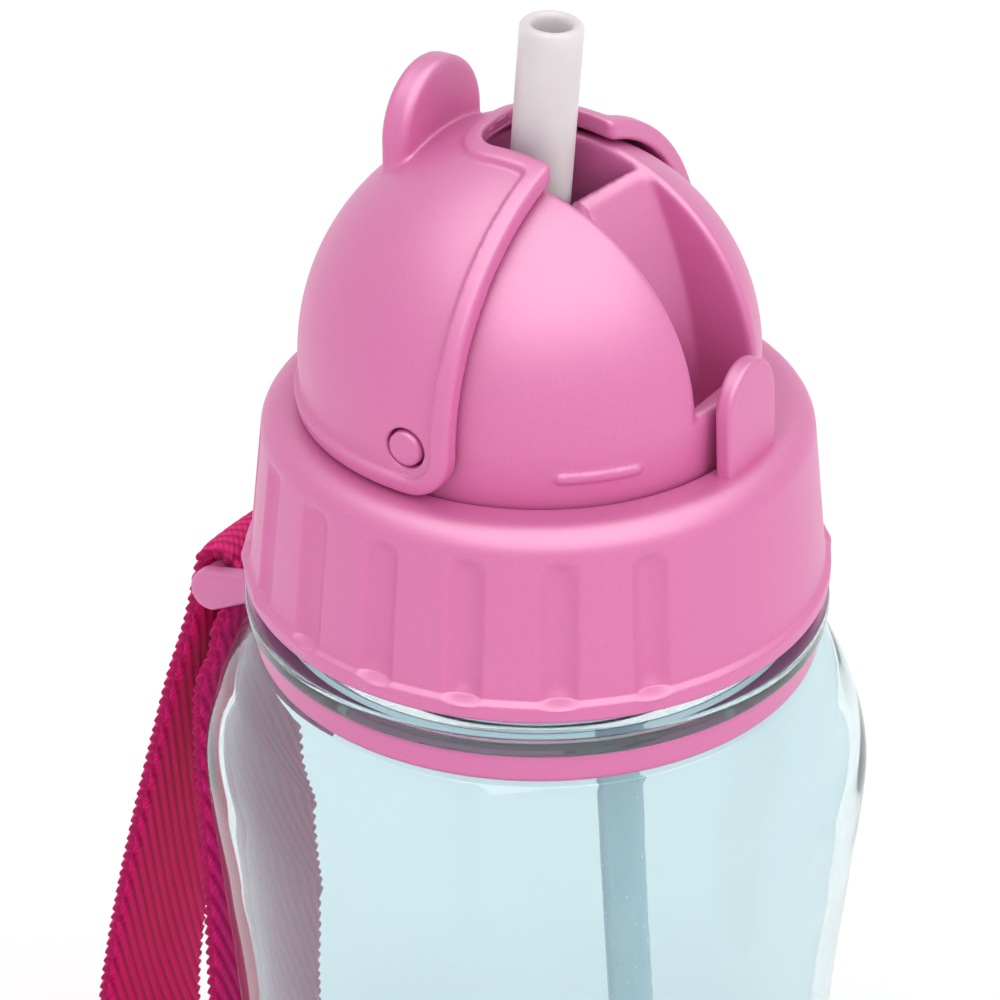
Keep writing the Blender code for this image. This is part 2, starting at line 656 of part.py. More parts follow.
def rib_bars():
    """Short stop ribs on both sides of the dome."""
    bodies = []
    for mirror in (-1, 1):
        sections = []
        for i in range(7):
            angle = math.radians(RIB_SPAN[0] + (RIB_SPAN[1] - RIB_SPAN[0]) * i / 6)
            fade = 0.35 if i in (0, 6) else 1.0
            section = []
            for radius, height in ((-0.8, -1), (1, -1), (1, 1), (-0.8, 1)):
                proud = RIB_PROUD * fade if radius > 0 else radius * MM
                r = DOME_R - 0.1 * MM + proud
                z = PIVOT_Z - RIB_DROP + height * RIB_H / 2
                section.append((mirror * r * math.cos(angle), -r * math.sin(angle), z))
            sections.append(section)
        bodies.append(sections)
    return lofted("stop_ribs", bodies)


def dome_insert(material):
    """The dome: hollow sides, a flange under the collar, the straw channel, pivot bosses and ribs."""
    foot = DOME_Z - PIVOT_Z
    flange_top = foot + DOME_FLANGE_T
    skirt_in = SKIRT_R - SKIRT_WALL
    outline = [(0.0, WEB_FLOOR_Z), (skirt_in, WEB_FLOOR_Z), (skirt_in, foot - SKIRT_H)]
    outline += [(SKIRT_R, foot - SKIRT_H), (SKIRT_R, foot), (DOME_FLANGE_R, foot)]
    outline += [(DOME_FLANGE_R, flange_top), (DOME_FOOT_R, flange_top)]
    outline += [(DOME_FOOT_R, -EDGE_R - SWING)]
    outline += ball_outline(DOME_R, 0.0)
    dome = turned("dome_insert", lifted(outline, PIVOT_Z), material, on_axis=True)
    combine(dome, dome_cavity(), "DIFFERENCE")
    combine(dome, dome_slot(), "DIFFERENCE")
    combine(dome, straw_guide(), "UNION")
    bore = STRAW_R + CLEAR
    cuts = [rod("straw_bore", straw_axis(-20 * MM), straw_axis(9 * MM), bore)]
    vent_low = (0.0, VENT_Y, PIVOT_Z + WEB_FLOOR_Z - 1.0 * MM)
    vent_high = (0.0, VENT_Y, PIVOT_Z + CHANNEL_FLOOR + 1.0 * MM)
    cuts.append(rod("vent_hole", vent_low, vent_high, VENT_STEM_R + CLEAR))
    half = CHANNEL_W / 2
    near, far = POCKET_BACK + 4.5 * MM, DOME_R - 4.8 * MM
    back = [(near, WEB_FLOOR_Z - 1.0 * MM), (far, WEB_FLOOR_Z - 1.0 * MM)]
    back += [(far, 6.0 * MM), (near, 12.0 * MM)]
    cuts.append(prism("rear_hollow", lifted(back, PIVOT_Z), -half, half, "X"))
    for cut in cuts:
        combine(dome, cut, "DIFFERENCE")
    tip = COVER_R + BOSS_PROUD
    for mirror, label in ((-1, "near"), (1, "far")):
        start = (mirror * (DOME_R - DOME_WALL / 2), 0.0, PIVOT_Z)
        boss = rod("pivot_boss_" + label, start, (mirror * tip, 0.0, PIVOT_Z), BOSS_R)
        combine(dome, boss, "UNION")
    return combine(dome, rib_bars(), "UNION")


def half_ball_shell(name, inner, outer, material=None, origin=(0, 0, 0)):
    lowest = -EDGE_R - 1.0 * MM
    outline = ball_outline(inner, lowest)[::-1] + ball_outline(outer, lowest)
    return turned(name, lifted(outline, PIVOT_Z), material, True, origin)


def cover_side(edge):
    """The cover seen from the side: straight front and lower edges, round at the pivot."""
    return lifted(
        arc((0.0, 0.0), edge, 180, 270, 8) + [(REACH, -edge), (REACH, REACH), (-edge, REACH)],
        PIVOT_Z,
    )


def notch_plan(grow):
    """The notch seen from above, grown on all sides by that much."""
    half, depth, corner = NOTCH_W / 2 + grow, NOTCH_DEPTH + grow, NOTCH_ROUND + grow
    plan = [(-half, -REACH), (half, -REACH)]
    plan += arc((half - corner, depth - corner), corner, 0, 90, 6)
    return plan + arc((corner - half, depth - corner), corner, 90, 180, 6)


def edge_bead():
    """The raised band along the cover's edges and round its notch."""
    bead = half_ball_shell("edge_bead", COVER_R - 0.4 * MM, COVER_R + BEAD_PROUD)
    field = prism("cover_field", cover_side(EDGE_R - BEAD_W), -REACH, REACH, "X")
    band = prism("notch_band", notch_plan(BEAD_W), PIVOT_Z + EDGE_R, PIVOT_Z + REACH, "Z")
    combine(field, band, "DIFFERENCE")
    return combine(bead, field, "DIFFERENCE")


def thumb_tab():
    """A round-topped upright tab for the thumb."""
    half = TAB_W / 2
    arch = arc((0.0, PIVOT_Z + COVER_R + TAB_RISE - half), half, 0, 180, 14)
    arch = [(half, PIVOT_Z + EDGE_R)] + arch + [(-half, PIVOT_Z + EDGE_R)]
    tab = prism("thumb_tab", arch, TAB_Y[0], TAB_Y[1], "Y")
    core_r = COVER_IN_R + COVER_T / 2
    outline = [(0.0, -EDGE_R)] + ball_outline(core_r, -EDGE_R)
    core = turned("tab_core", lifted(outline, PIVOT_Z), on_axis=True)
    return combine(tab, core, "DIFFERENCE")


def flip_cover(material):
    """The cover: a quarter ball that turns about the pivot bosses, notched for the straw."""
    pivot = (0.0, 0.0, PIVOT_Z)
    cover = half_ball_shell("flip_cover", COVER_IN_R, COVER_R, material, pivot)
    combine(cover, edge_bead(), "UNION")
    side = prism("cover_side", cover_side(EDGE_R), -REACH, REACH, "X")
    combine(cover, side, "INTERSECT")
    combine(cover, thumb_tab(), "UNION")
    notch = prism("straw_notch", notch_plan(0.0), PIVOT_Z + EDGE_R, PIVOT_Z + REACH, "Z")
    combine(cover, notch, "DIFFERENCE")
    ends = [(x, 0.0, PIVOT_Z) for x in (-REACH, REACH)]
    hole = rod("pivot_hole", *ends, BOSS_R + CLEAR)
    return combine(cover, hole, "DIFFERENCE")


def plug_plan():
    """The silicone plug's plan: round ends at the nozzle and under the spout."""
    back = straw_axis(WEB_FLOOR_Z).y
    plan = arc((0.0, NOZZLE_Y), PLUG_END_R, 180, 360, 8)
    return plan + arc((0.0, back), PLUG_END_R, 0, 180, 8)


def straw_root(material):
    """The silicone base of the straw: a plug under the dome, a spout up through it and a nozzle below."""
    top = PIVOT_Z + WEB_FLOOR_Z - CLEAR
    root = prism("straw_root", plug_plan(), top - PLUG_T, top, "Z", material)
    spout = rod("spout", straw_axis(WEB_FLOOR_Z - 2 * MM), straw_axis(STRAW_SPLIT_H), STRAW_R)
    collet_low = POCKET_FLOOR + COLLET_R * STRAW_LEAN + COLLET_GAP
    collet = rod("collet", straw_axis(collet_low), straw_axis(collet_low + COLLET_T), COLLET_R)
    nozzle_top = Vector((0.0, NOZZLE_Y, top - PLUG_T / 2))
    nozzle_end = lower_axis(top - PLUG_T - NOZZLE_H)
    nozzle = rod("nozzle", nozzle_top, nozzle_end, NOZZLE_R)
    for piece in (spout, collet, nozzle):
        combine(root, piece, "UNION")
    mid = WEB_FLOOR_Z - CLEAR - PLUG_T / 2
    rise = rod("spout_bore", straw_axis(mid), straw_axis(STRAW_SPLIT_H + 2 * MM), STRAW_BORE_R)
    spread = STRAW_BORE_R * 0.6
    across = [(-spread, top - PLUG_T / 2 - spread), (spread, top - PLUG_T / 2 - spread)]
    across += [(spread, top - PLUG_T / 2 + spread), (-spread, top - PLUG_T / 2 + spread)]
    link = prism("link_bore", across, NOZZLE_Y, straw_axis(mid).y, "Y")
    socket = rod(
        "nozzle_bore",
        lower_axis(top - PLUG_T / 2),
        lower_axis(top - PLUG_T - NOZZLE_H - 2 * MM),
        LOWER_STRAW_R + CLEAR,
    )
    for bore in (rise, link, socket):
        combine(root, bore, "DIFFERENCE")
    return root


def lower_axis(height):
    """The lower straw's centre at that world height."""
    top = PIVOT_Z + WEB_FLOOR_Z - CLEAR - PLUG_T / 2
    return Vector((0.0, NOZZLE_Y - (top - height) * LOWER_LEAN, height))


def tube(name, start, end, radius, bore_r, material, origin=(0, 0, 0)):
    """A rod with a hole from end to end."""
    body = rod(name, start, end, radius, material, origin=origin)
    run = (Vector(end) - Vector(start)).normalized() * MM
    hole = rod(name + "_bore", Vector(start) - run, Vector(end) + run, bore_r)
    return combine(body, hole, "DIFFERENCE")


def fold_point():
    """Where the straw folds over the guide's lip."""
    return Vector((0.0, GUIDE_LIP_MID_Y + GUIDE_T + 0.5 * MM, PIVOT_Z + GUIDE_LIP_MID_H - 0.9 * MM))


def straw_tip(material):
    """The soft stretch of the straw that stands up or folds into the channel."""
    low, high = straw_axis(STRAW_SPLIT_H + CLEAR), straw_axis(STRAW_TIP_H)
    return tube("straw_tip", low, high, STRAW_R, STRAW_BORE_R, material, fold_point())


def lower_straw(material):
    """The rigid tube from the nozzle down to the bottom of the bottle."""
    mouth = PIVOT_Z + WEB_FLOOR_Z - CLEAR - PLUG_T - NOZZLE_H
    top = lower_axis(mouth + LOWER_STRAW_GRIP)
    foot = lower_axis(FLOOR_T + LOWER_STRAW_LIFT)
    return tube("lower_straw", top, foot, LOWER_STRAW_R, LOWER_STRAW_BORE_R, material)


def vent_valve(material):
    """A small silicone duckbill in the channel's floor that lets air in."""
    top = PIVOT_Z + CHANNEL_FLOOR - CLEAR
    seat = PIVOT_Z + WEB_FLOOR_Z - CLEAR
    end = seat - VENT_DISC_T - VENT_BILL_L
    bill = 0.5 * MM
    outline = [(0.0, end), (bill, end), (VENT_STEM_R, seat - VENT_DISC_T)]
    outline += [(VENT_DISC_R, seat - VENT_DISC_T), (VENT_DISC_R, seat)]
    outline += [(VENT_STEM_R, seat), (VENT_STEM_R, top), (0.0, top)]
    valve = turned("vent_valve", outline, material, on_axis=True, steps=PIN_STEPS)
    for vertex in valve.data.vertices:
        vertex.co.y += VENT_Y
    return valve


def empty(name, place):
    axis = bpy.data.objects.new(name, None)
    axis.location = place
    bpy.context.scene.collection.objects.link(axis)
    return axis


def parent(children, axis):
    bpy.context.view_layer.update()
    for child in children:
        child.parent = axis
        child.matrix_parent_inverse = axis.matrix_world.inverted()


def build():
    clear_scene()
    pink = (0.80, 0.20, 0.42)
    clear = plastic("clear_bottle", (0.86, 0.95, 0.97), 0.05, 0.9, 0.35)
    silicone = plastic("milky_silicone", (0.80, 0.80, 0.84), 0.35, 0.3, 0.85)
    body = bottle_body(clear)
    ring = strap_ring(plastic("ring_plastic", pink, 0.35))
    webbing = strap_webbing(plastic("webbing", (0.52, 0.02, 0.16), 0.85))
    collar = lid_collar(plastic("collar_plastic", pink, 0.35))
    gasket = lid_gasket(plastic("gasket_silicone", (0.85, 0.85, 0.87), 0.45))
    dome = dome_insert(plastic("dome_plastic", pink, 0.32))
    cover = flip_cover(plastic("cover_plastic", pink, 0.33))
    root = straw_root(silicone)
    tip = straw_tip(plastic("tip_silicone", (0.82, 0.80, 0.80), 0.35, 0.3, 0.85))
    lower = lower_straw(plastic("straw_plastic", (0.78, 0.86, 0.92), 0.25, 0.4, 0.6))
    vent = vent_valve(plastic("vent_silicone", (0.85, 0.85, 0.87), 0.45))
    lid_axis = empty("lid_axis", (0.0, 0.0, COLLAR_Z))
    parent([gasket, collar, dome, root, lower, vent, cover, tip], lid_axis)
    parent([webbing], ring)
    parent([ring, lid_axis], body)


build()
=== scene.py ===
# Kids water bottle: clear body, satin pink lid with a flip cover and a folding straw, and a carry strap.
import json
import math

import bmesh
import bpy
import numpy as np
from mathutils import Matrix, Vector


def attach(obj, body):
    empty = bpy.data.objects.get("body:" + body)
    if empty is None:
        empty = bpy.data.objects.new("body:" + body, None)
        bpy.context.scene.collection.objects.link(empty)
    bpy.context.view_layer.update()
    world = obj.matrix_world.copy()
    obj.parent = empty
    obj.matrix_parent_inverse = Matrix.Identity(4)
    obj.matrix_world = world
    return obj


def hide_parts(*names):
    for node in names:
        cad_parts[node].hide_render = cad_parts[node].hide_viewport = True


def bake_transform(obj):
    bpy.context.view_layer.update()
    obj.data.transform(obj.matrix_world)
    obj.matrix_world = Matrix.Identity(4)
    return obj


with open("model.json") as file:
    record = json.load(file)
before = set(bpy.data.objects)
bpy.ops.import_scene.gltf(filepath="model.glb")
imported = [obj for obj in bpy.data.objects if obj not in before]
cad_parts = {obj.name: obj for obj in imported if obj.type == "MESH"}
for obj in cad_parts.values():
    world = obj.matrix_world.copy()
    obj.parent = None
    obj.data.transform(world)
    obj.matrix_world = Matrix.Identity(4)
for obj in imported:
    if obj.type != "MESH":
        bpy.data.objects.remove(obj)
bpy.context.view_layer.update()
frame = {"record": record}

mm = 0.001
joints = {joint["name"]: joint for joint in frame["record"]["behaviour"]["joints"]}
pivot = np.array(joints["cover_pivot"]["pos_m"])
barPoint = Vector(joints["strap_swing"]["pos_m"])


# Mesh tools

def addPiece(name, points, faces, body, material, replaced=()):
    mesh = bpy.data.meshes.new(name)
    mesh.from_pydata([tuple(p) for p in points], [], [tuple(f) for f in faces])
    mesh.validate()
    shape = bmesh.new()
    shape.from_mesh(mesh)
    bmesh.ops.recalc_face_normals(shape, faces=shape.faces)
    shape.to_mesh(mesh)
    shape.free()
    mesh.shade_smooth()
    piece = bpy.data.objects.new(name, mesh)
    bpy.context.scene.collection.objects.link(piece)
    mesh.materials.append(material)
    if body:
        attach(piece, body)
    if replaced:
        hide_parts(*replaced)
    print("made", name, len(mesh.polygons), "faces")
    return piece


def filleted(corners, closed=True, steps=6):
    # corners are (a, b, radius): each becomes an arc of that radius
    outline = []
    last = len(corners) - 1
    for i, (a, b, radius) in enumerate(corners):
        corner = Vector((a, b))
        if radius <= 0 or (not closed and i in (0, last)):
            outline.append((a, b))
            continue
        back = Vector(corners[i - 1][:2]) - corner
        ahead = Vector(corners[(i + 1) % len(corners)][:2]) - corner
        u, v = back.normalized(), ahead.normalized()
        half = u.angle(v) / 2
        cut = min(radius / math.tan(half), back.length * 0.49, ahead.length * 0.49)
        radius = cut * math.tan(half)
        centre = corner + (u + v).normalized() * (radius / math.sin(half))
        start, end = corner + u * cut - centre, corner + v * cut - centre
        angle = math.atan2(start.y, start.x)
        sweep = math.atan2(end.y, end.x) - angle
        sweep = (sweep + math.pi) % (2 * math.pi) - math.pi
        for k in range(steps + 1):
            turn = angle + sweep * k / steps
            outline.append((centre.x + radius * math.cos(turn), centre.y + radius * math.sin(turn)))
    return outline


def subdivided(outline, longest, closed=True):
    # splits long stretches, so that a surface shaped by a formula has enough points
    fine = []
    ends = outline[1:] + outline[:1] if closed else outline[1:]
    for (a, b), (c, d) in zip(outline, ends):
        count = max(1, math.ceil(math.hypot(c - a, d - b) / longest))
        fine += [(a + (c - a) * k / count, b + (d - b) * k / count) for k in range(count)]
    return fine if closed else fine + [outline[-1]]


def turnedMesh(outline, steps, shaping=None, closed=True, centre=(0.0, 0.0)):
    # outline is (radius, height) in mm; a point on the axis becomes one vertex
    points, rings = [], []
    angles = np.arange(steps) * 2 * np.pi / steps
    for radius, height in outline:
        start = len(points)
        if radius < 1e-6:
            points.append((centre[0] * mm, centre[1] * mm, height * mm))
            rings.append([start] * steps)
            continue
        radii = np.full(steps, radius)
        if shaping is not None:
            radii = radii + shaping(angles, radius, height)
        x = (radii * np.cos(angles) + centre[0]) * mm
        y = (radii * np.sin(angles) + centre[1]) * mm
        points += list(zip(x, y, [height * mm] * steps))
        rings.append(list(range(start, start + steps)))
    faces = []
    followers = rings[1:] + rings[:1] if closed else rings[1:]
    for ring, after in zip(rings, followers):
        for i in range(steps):
            j = (i + 1) % steps
            face = []
            for index in (ring[i], ring[j], after[j], after[i]):
                if index not in face:
                    face.append(index)
            if len(face) > 2:
                faces.append(face)
    return points, faces


def tubeMesh(path, outer, inner, steps, lipSteps=5):
    # a tube along points in metres, with round lips; outer and inner are radii in mm
    wall = (outer - inner) / 2
    ways = [(b - a).normalized() for a, b in zip(path[:1] + path[:-1], path[1:] + path[-1:])]

    def lip(end, reach, rise):
        return path[end] + ways[end] * wall * mm * reach, ways[end], inner + wall + wall * rise

    angles = [math.pi / 2 * k / lipSteps for k in range(1, lipSteps)]
    turns = [(math.sin(a), math.cos(a)) for a in angles]
    profile = [lip(0, -1, 0)] + [lip(0, -c, s) for s, c in turns]
    profile += [(point, way, outer) for point, way in zip(path, ways)]
    profile += [lip(-1, s, c) for s, c in turns] + [lip(-1, 1, 0)] + [lip(-1, c, -s) for s, c in turns]
    profile += [(point, way, inner) for point, way in zip(path[::-1], ways[::-1])]
    profile += [lip(0, -s, -c) for s, c in turns]
    points, faces = [], []
    side = Vector((1, 0, 0))
    for point, along, radius in profile:
        other = along.cross(side).normalized()
        for k in range(steps):
            turn = 2 * math.pi * k / steps
            points.append(point + (side * math.cos(turn) + other * math.sin(turn)) * radius * mm)
    total = len(profile)
    for i in range(total):
        j = (i + 1) % total
        for k in range(steps):
            m = (k + 1) % steps
            faces.append((i * steps + k, i * steps + m, j * steps + m, j * steps + k))
    return points, faces


# Moulded shapes as distance fields in mm: below zero inside, with soft unions and soft cuts

def softMin(a, b, blend):
    share = np.clip(0.5 + 0.5 * (b - a) / blend, 0, 1)
    return b * (1 - share) + a * share - blend * share * (1 - share)


def softMax(a, b, blend):
    return -softMin(-a, -b, blend)


def roundBoth(a, b, radius):
    # the overlap of two fields, with a round edge of that radius
    a, b = a + radius, b + radius
    outside = np.hypot(np.maximum(a, 0), np.maximum(b, 0))
    return outside + np.minimum(np.maximum(a, b), 0) - radius


def skinField(field, low, high, cell):
    # the surface where the field is zero: one point for each crossed cell, then moved onto the surface
    axes = [np.arange(a - 2 * cell, b + 3 * cell, cell) for a, b in zip(low, high)]
    x, y, z = np.meshgrid(*axes, indexing="ij")
    value = field(x, y, z)
    size = np.array(value.shape) - 1
    total = np.zeros((*size, 3), np.float32)
    hits = np.zeros(size, np.float32)
    crossings = []
    for axis in range(3):
        head = [slice(None)] * 3
        tail = [slice(None)] * 3
        head[axis], tail[axis] = slice(0, -1), slice(1, None)
        before, after = value[tuple(head)], value[tuple(tail)]
        crossed = (before < 0) != (after < 0)
        crossings.append((crossed, before < 0))
        where = np.argwhere(crossed)
        share = before[crossed] / (before[crossed] - after[crossed])
        place = where.astype(np.float32)
        place[:, axis] += share
        others = [a for a in range(3) if a != axis]
        for first in (0, -1):
            for second in (0, -1):
                box = where.copy()
                box[:, others[0]] += first
                box[:, others[1]] += second
                good = ((box >= 0) & (box < size)).all(axis=1)
                flat = np.ravel_multi_index(box[good].T, size)
                np.add.at(hits.reshape(-1), flat, 1)
                np.add.at(total.reshape(-1, 3), flat, place[good])
    active = hits > 0
    number = np.full(size, -1)
    number[active] = np.arange(active.sum())
    points = total[active] / hits[active][:, None] * cell + np.array([a[0] for a in axes])
    faces = []
    for axis, (crossed, starts) in enumerate(crossings):
        others = [a for a in range(3) if a != axis]
        where = np.argwhere(crossed)
        good = ((where[:, others] > 0) & (where[:, others] < size[others])).all(axis=1)
        where = where[good]
        corners = []
        for first, second in ((-1, -1), (0, -1), (0, 0), (-1, 0)):
            box = where.copy()
            box[:, others[0]] += first
            box[:, others[1]] += second
            corners.append(number[tuple(box.T)])
        quads = np.stack(corners, axis=1)
        turned = starts[tuple(where.T)] == (axis == 1)
        quads[turned] = quads[turned][:, ::-1]
        faces.append(quads)
    step = 0.02
    for _ in range(3):
        value = field(*points.T)
        slope = np.stack([field(*(points + offset).T) - field(*(points - offset).T)
                          for offset in np.eye(3) * step], axis=1) / (2 * step)
        length = np.maximum((slope**2).sum(axis=1), 0.05)
        move = -(value / length)[:, None] * slope
        points = points + np.clip(move, -cell / 2, cell / 2)
    return points, np.concatenate(faces)


def placed(points, centre=(0.0, 0.0, 0.0)):
    return np.asarray(points) * mm + np.asarray(centre)


# Material tools

def nodeGroup(name, inputs, outputs):
    group = bpy.data.node_groups.new(name, "ShaderNodeTree")
    for socketName, kind, value in inputs:
        socket = group.interface.new_socket(name=socketName, in_out="INPUT", socket_type=kind)
        socket.default_value = value
    for socketName, kind in outputs:
        group.interface.new_socket(name=socketName, in_out="OUTPUT", socket_type=kind)
    source = group.nodes.new("NodeGroupInput")
    result = group.nodes.new("NodeGroupOutput")
    return group, source.outputs, result.inputs


def addNode(tree, kind, values=None, **settings):
    node = tree.nodes.new(kind)
    for key, value in settings.items():
        setattr(node, key, value)
    for key, value in (values or {}).items():
        if isinstance(value, bpy.types.NodeSocket):
            tree.links.new(value, node.inputs[key])
        else:
            node.inputs[key].default_value = value
    return node


def maths(tree, operation, a, b=0.0, clamp=False):
    node = addNode(tree, "ShaderNodeMath", {0: a, 1: b}, operation=operation, use_clamp=clamp)
    return node.outputs[0]


def mixed(tree, share, a, b, kind="MIX"):
    node = addNode(tree, "ShaderNodeMix", {0: share, 6: a, 7: b}, data_type="RGBA", blend_type=kind)
    return node.outputs[2]


def ranged(tree, value, low, high, start, end):
    values = {"Value": value, "From Min": low, "From Max": high, "To Min": start, "To Max": end}
    return addNode(tree, "ShaderNodeMapRange", values).outputs[0]


def objectNoise(tree, scale, detail=3.0, rough=0.5):
    place = tree.nodes.new("ShaderNodeTexCoord").outputs["Object"]
    values = {"Vector": place, "Scale": scale, "Detail": detail, "Roughness": rough}
    return addNode(tree, "ShaderNodeTexNoise", values).outputs[0]


moulding = {"driftScale": 42.0, "drift": 0.22, "speckScale": 2600.0, "speck": 0.03, "scuffScale": 170.0,
            "scuff": 0.16, "grainScale": 5200.0, "grain": 0.6, "rippleScale": 260.0, "ripple": 0.9}


def mouldedGroup():
    # satin moulding: slow tone drift, fine spark-eroded grain, and soft handling wear
    m = moulding
    inputs = [("Colour", "NodeSocketColor", (0.8, 0.3, 0.5, 1)),
              ("Deep Colour", "NodeSocketColor", (0.6, 0.1, 0.3, 1)),
              ("Roughness", "NodeSocketFloat", 0.35), ("Wear", "NodeSocketFloat", 0.3)]
    outputs = [("Colour", "NodeSocketColor"), ("Roughness", "NodeSocketFloat"), ("Height", "NodeSocketFloat")]
    tree, given, result = nodeGroup("mouldedFinish", inputs, outputs)
    drift = ranged(tree, objectNoise(tree, m["driftScale"], 2.0), 0.35, 0.7, 0.0, m["drift"])
    tone = mixed(tree, drift, given["Colour"], given["Deep Colour"])
    speck = ranged(tree, objectNoise(tree, m["speckScale"], 2.0), 0.3, 0.7, 1 - m["speck"], 1 + m["speck"])
    grey = addNode(tree, "ShaderNodeCombineColor", {0: speck, 1: speck, 2: speck}).outputs[0]
    tree.links.new(mixed(tree, 1.0, tone, grey, "MULTIPLY"), result["Colour"])
    scuff = ranged(tree, objectNoise(tree, m["scuffScale"], 6.0, 0.65), 0.5, 0.72, 0.0, 1.0)
    change = maths(tree, "MULTIPLY", maths(tree, "MULTIPLY", scuff, given["Wear"]), m["scuff"])
    tree.links.new(maths(tree, "ADD", given["Roughness"], change, True), result["Roughness"])
    grain = maths(tree, "MULTIPLY", objectNoise(tree, m["grainScale"], 2.0), m["grain"])
    ripple = maths(tree, "MULTIPLY", objectNoise(tree, m["rippleScale"], 2.0), m["ripple"])
    tree.links.new(maths(tree, "ADD", grain, ripple), result["Height"])
    return tree


weave = {"ribPitch": 1.43, "ribSlant": 0.4, "yarnPitch": 0.62, "yarnSlant": 0.7, "fuzzScale": 3400.0}


def weaveGroup():
    # yarn pattern from the strip's own map: x across and y along, both in mm
    inputs = [("Rib Pitch", "NodeSocketFloat", weave["ribPitch"]),
              ("Yarn Pitch", "NodeSocketFloat", weave["yarnPitch"])]
    outputs = [("Rib", "NodeSocketFloat"), ("Yarn", "NodeSocketFloat"), ("Fuzz", "NodeSocketFloat")]
    tree, given, result = nodeGroup("twillWeave", inputs, outputs)
    place = addNode(tree, "ShaderNodeUVMap", uv_map="strip").outputs[0]
    split = addNode(tree, "ShaderNodeSeparateXYZ", {0: place}).outputs
    across, along = split[0], split[1]
    rib = maths(tree, "ADD", across, maths(tree, "MULTIPLY", along, weave["ribSlant"]))
    rib = maths(tree, "DIVIDE", rib, given["Rib Pitch"])
    tree.links.new(maths(tree, "PINGPONG", rib, 0.5), result["Rib"])
    yarn = maths(tree, "SUBTRACT", along, maths(tree, "MULTIPLY", across, weave["yarnSlant"]))
    yarn = maths(tree, "DIVIDE", yarn, given["Yarn Pitch"])
    tree.links.new(maths(tree, "PINGPONG", yarn, 0.5), result["Yarn"])
    tree.links.new(objectNoise(tree, weave["fuzzScale"], 4.0, 0.7), result["Fuzz"])
    return tree


def newMaterial(name):
    material = bpy.data.materials.new(name)
    material.use_nodes = True
    tree = material.node_tree
    return material, tree, tree.nodes["Principled BSDF"].inputs


def bumped(tree, height, strength, distance):
    values = {"Height": height, "Strength": strength, "Distance": distance}
    return addNode(tree, "ShaderNodeBump", values).outputs[0]


def satinPlastic(name, look):
    material, tree, shader = newMaterial(name)
    finish = addNode(tree, "ShaderNodeGroup", node_tree=mouldedFinish)
    finish.inputs["Colour"].default_value = (*look["colour"], 1)
    finish.inputs["Deep Colour"].default_value = (*look["deep"], 1)
    finish.inputs["Roughness"].default_value = look["roughness"]
    finish.inputs["Wear"].default_value = look["wear"]
    tree.links.new(finish.outputs["Colour"], shader["Base Color"])
    tree.links.new(finish.outputs["Roughness"], shader["Roughness"])
    tree.links.new(bumped(tree, finish.outputs["Height"], *look["grain"]), shader["Normal"])
    shader["Specular IOR Level"].default_value = look["gloss"]
    shader["Coat Weight"].default_value = look["coat"]
    shader["Coat Roughness"].default_value = look["coatRoughness"]
    shader["Subsurface Weight"].default_value = look["glow"]
    shader["Subsurface Radius"].default_value = (1.0, 0.35, 0.55)
    shader["Subsurface Scale"].default_value = look["depth"]
    return material


mouldedFinish = mouldedGroup()
twillWeave = weaveGroup()

pinkLook = {"colour": (0.575, 0.120, 0.320), "deep": (0.555, 0.106, 0.303), "roughness": 0.44, "wear": 0.4,
            "gloss": 0.6, "glow": 0.04, "depth": 0.0012, "coat": 0.4, "coatRoughness": 0.42,
            "grain": (0.06, 0.00006)}
lidPink = satinPlastic("lidPink", pinkLook)
coverPink = satinPlastic("coverPink", {**pinkLook, "roughness": 0.45})
ringPink = satinPlastic("ringPink", {**pinkLook, "roughness": 0.36, "wear": 0.25})


def clearPlastic():
    look = {"tint": (0.795, 0.905, 0.925), "drift": (0.775, 0.89, 0.915), "edge": (0.20, 0.52, 0.60),
            "roughness": 0.02, "haze": 0.03, "hazeScale": 420.0, "driftScale": 25.0, "flowScale": 38.0,
            "flow": (0.12, 0.0006), "edgeFrom": 0.6, "edgePower": 2.6, "index": 1.07, "neckIndex": 1.3,
            "neckFrom": 0.1135, "neckTo": 0.116, "clear": 0.965, "coat": 0.5, "coatRoughness": 0.05}
    material, tree, shader = newMaterial("clearAquaPlastic")
    flow = objectNoise(tree, look["flowScale"], 1.0)
    cloud = objectNoise(tree, look["hazeScale"], 5.0, 0.6)
    haze = ranged(tree, cloud, 0.55, 0.75, look["roughness"], look["roughness"] + look["haze"])
    tree.links.new(haze, shader["Roughness"])
    tree.links.new(bumped(tree, flow, *look["flow"]), shader["Normal"])
    drift = ranged(tree, objectNoise(tree, look["driftScale"], 2.0), 0.3, 0.7, 0.0, 1.0)
    tint = mixed(tree, drift, (*look["tint"], 1), (*look["drift"], 1))
    grazing = addNode(tree, "ShaderNodeLayerWeight", {"Blend": 0.5}).outputs["Facing"]
    rim = maths(tree, "POWER", ranged(tree, grazing, look["edgeFrom"], 1.0, 0.0, 1.0), look["edgePower"])
    tree.links.new(mixed(tree, rim, tint, (*look["edge"], 1)), shader["Base Color"])
    shader["Transmission Weight"].default_value = look["clear"]
    shader["Coat Weight"].default_value = look["coat"]
    shader["Coat Roughness"].default_value = look["coatRoughness"]
    # the thin side wall barely bends light; the thick neck and flange do
    place = tree.nodes.new("ShaderNodeTexCoord").outputs["Object"]
    height = addNode(tree, "ShaderNodeSeparateXYZ", {0: place}).outputs["Z"]
    index = ranged(tree, height, look["neckFrom"], look["neckTo"], look["index"], look["neckIndex"])
    tree.links.new(index, shader["IOR"])
    return material


rubber = {"cloudScale": 210.0, "smearScale": 900.0, "smoother": 0.04, "rougher": 0.06, "grainScale": 2400.0,
          "grain": (0.12, 0.00005), "scatter": (1.0, 0.95, 0.95), "index": 1.41}


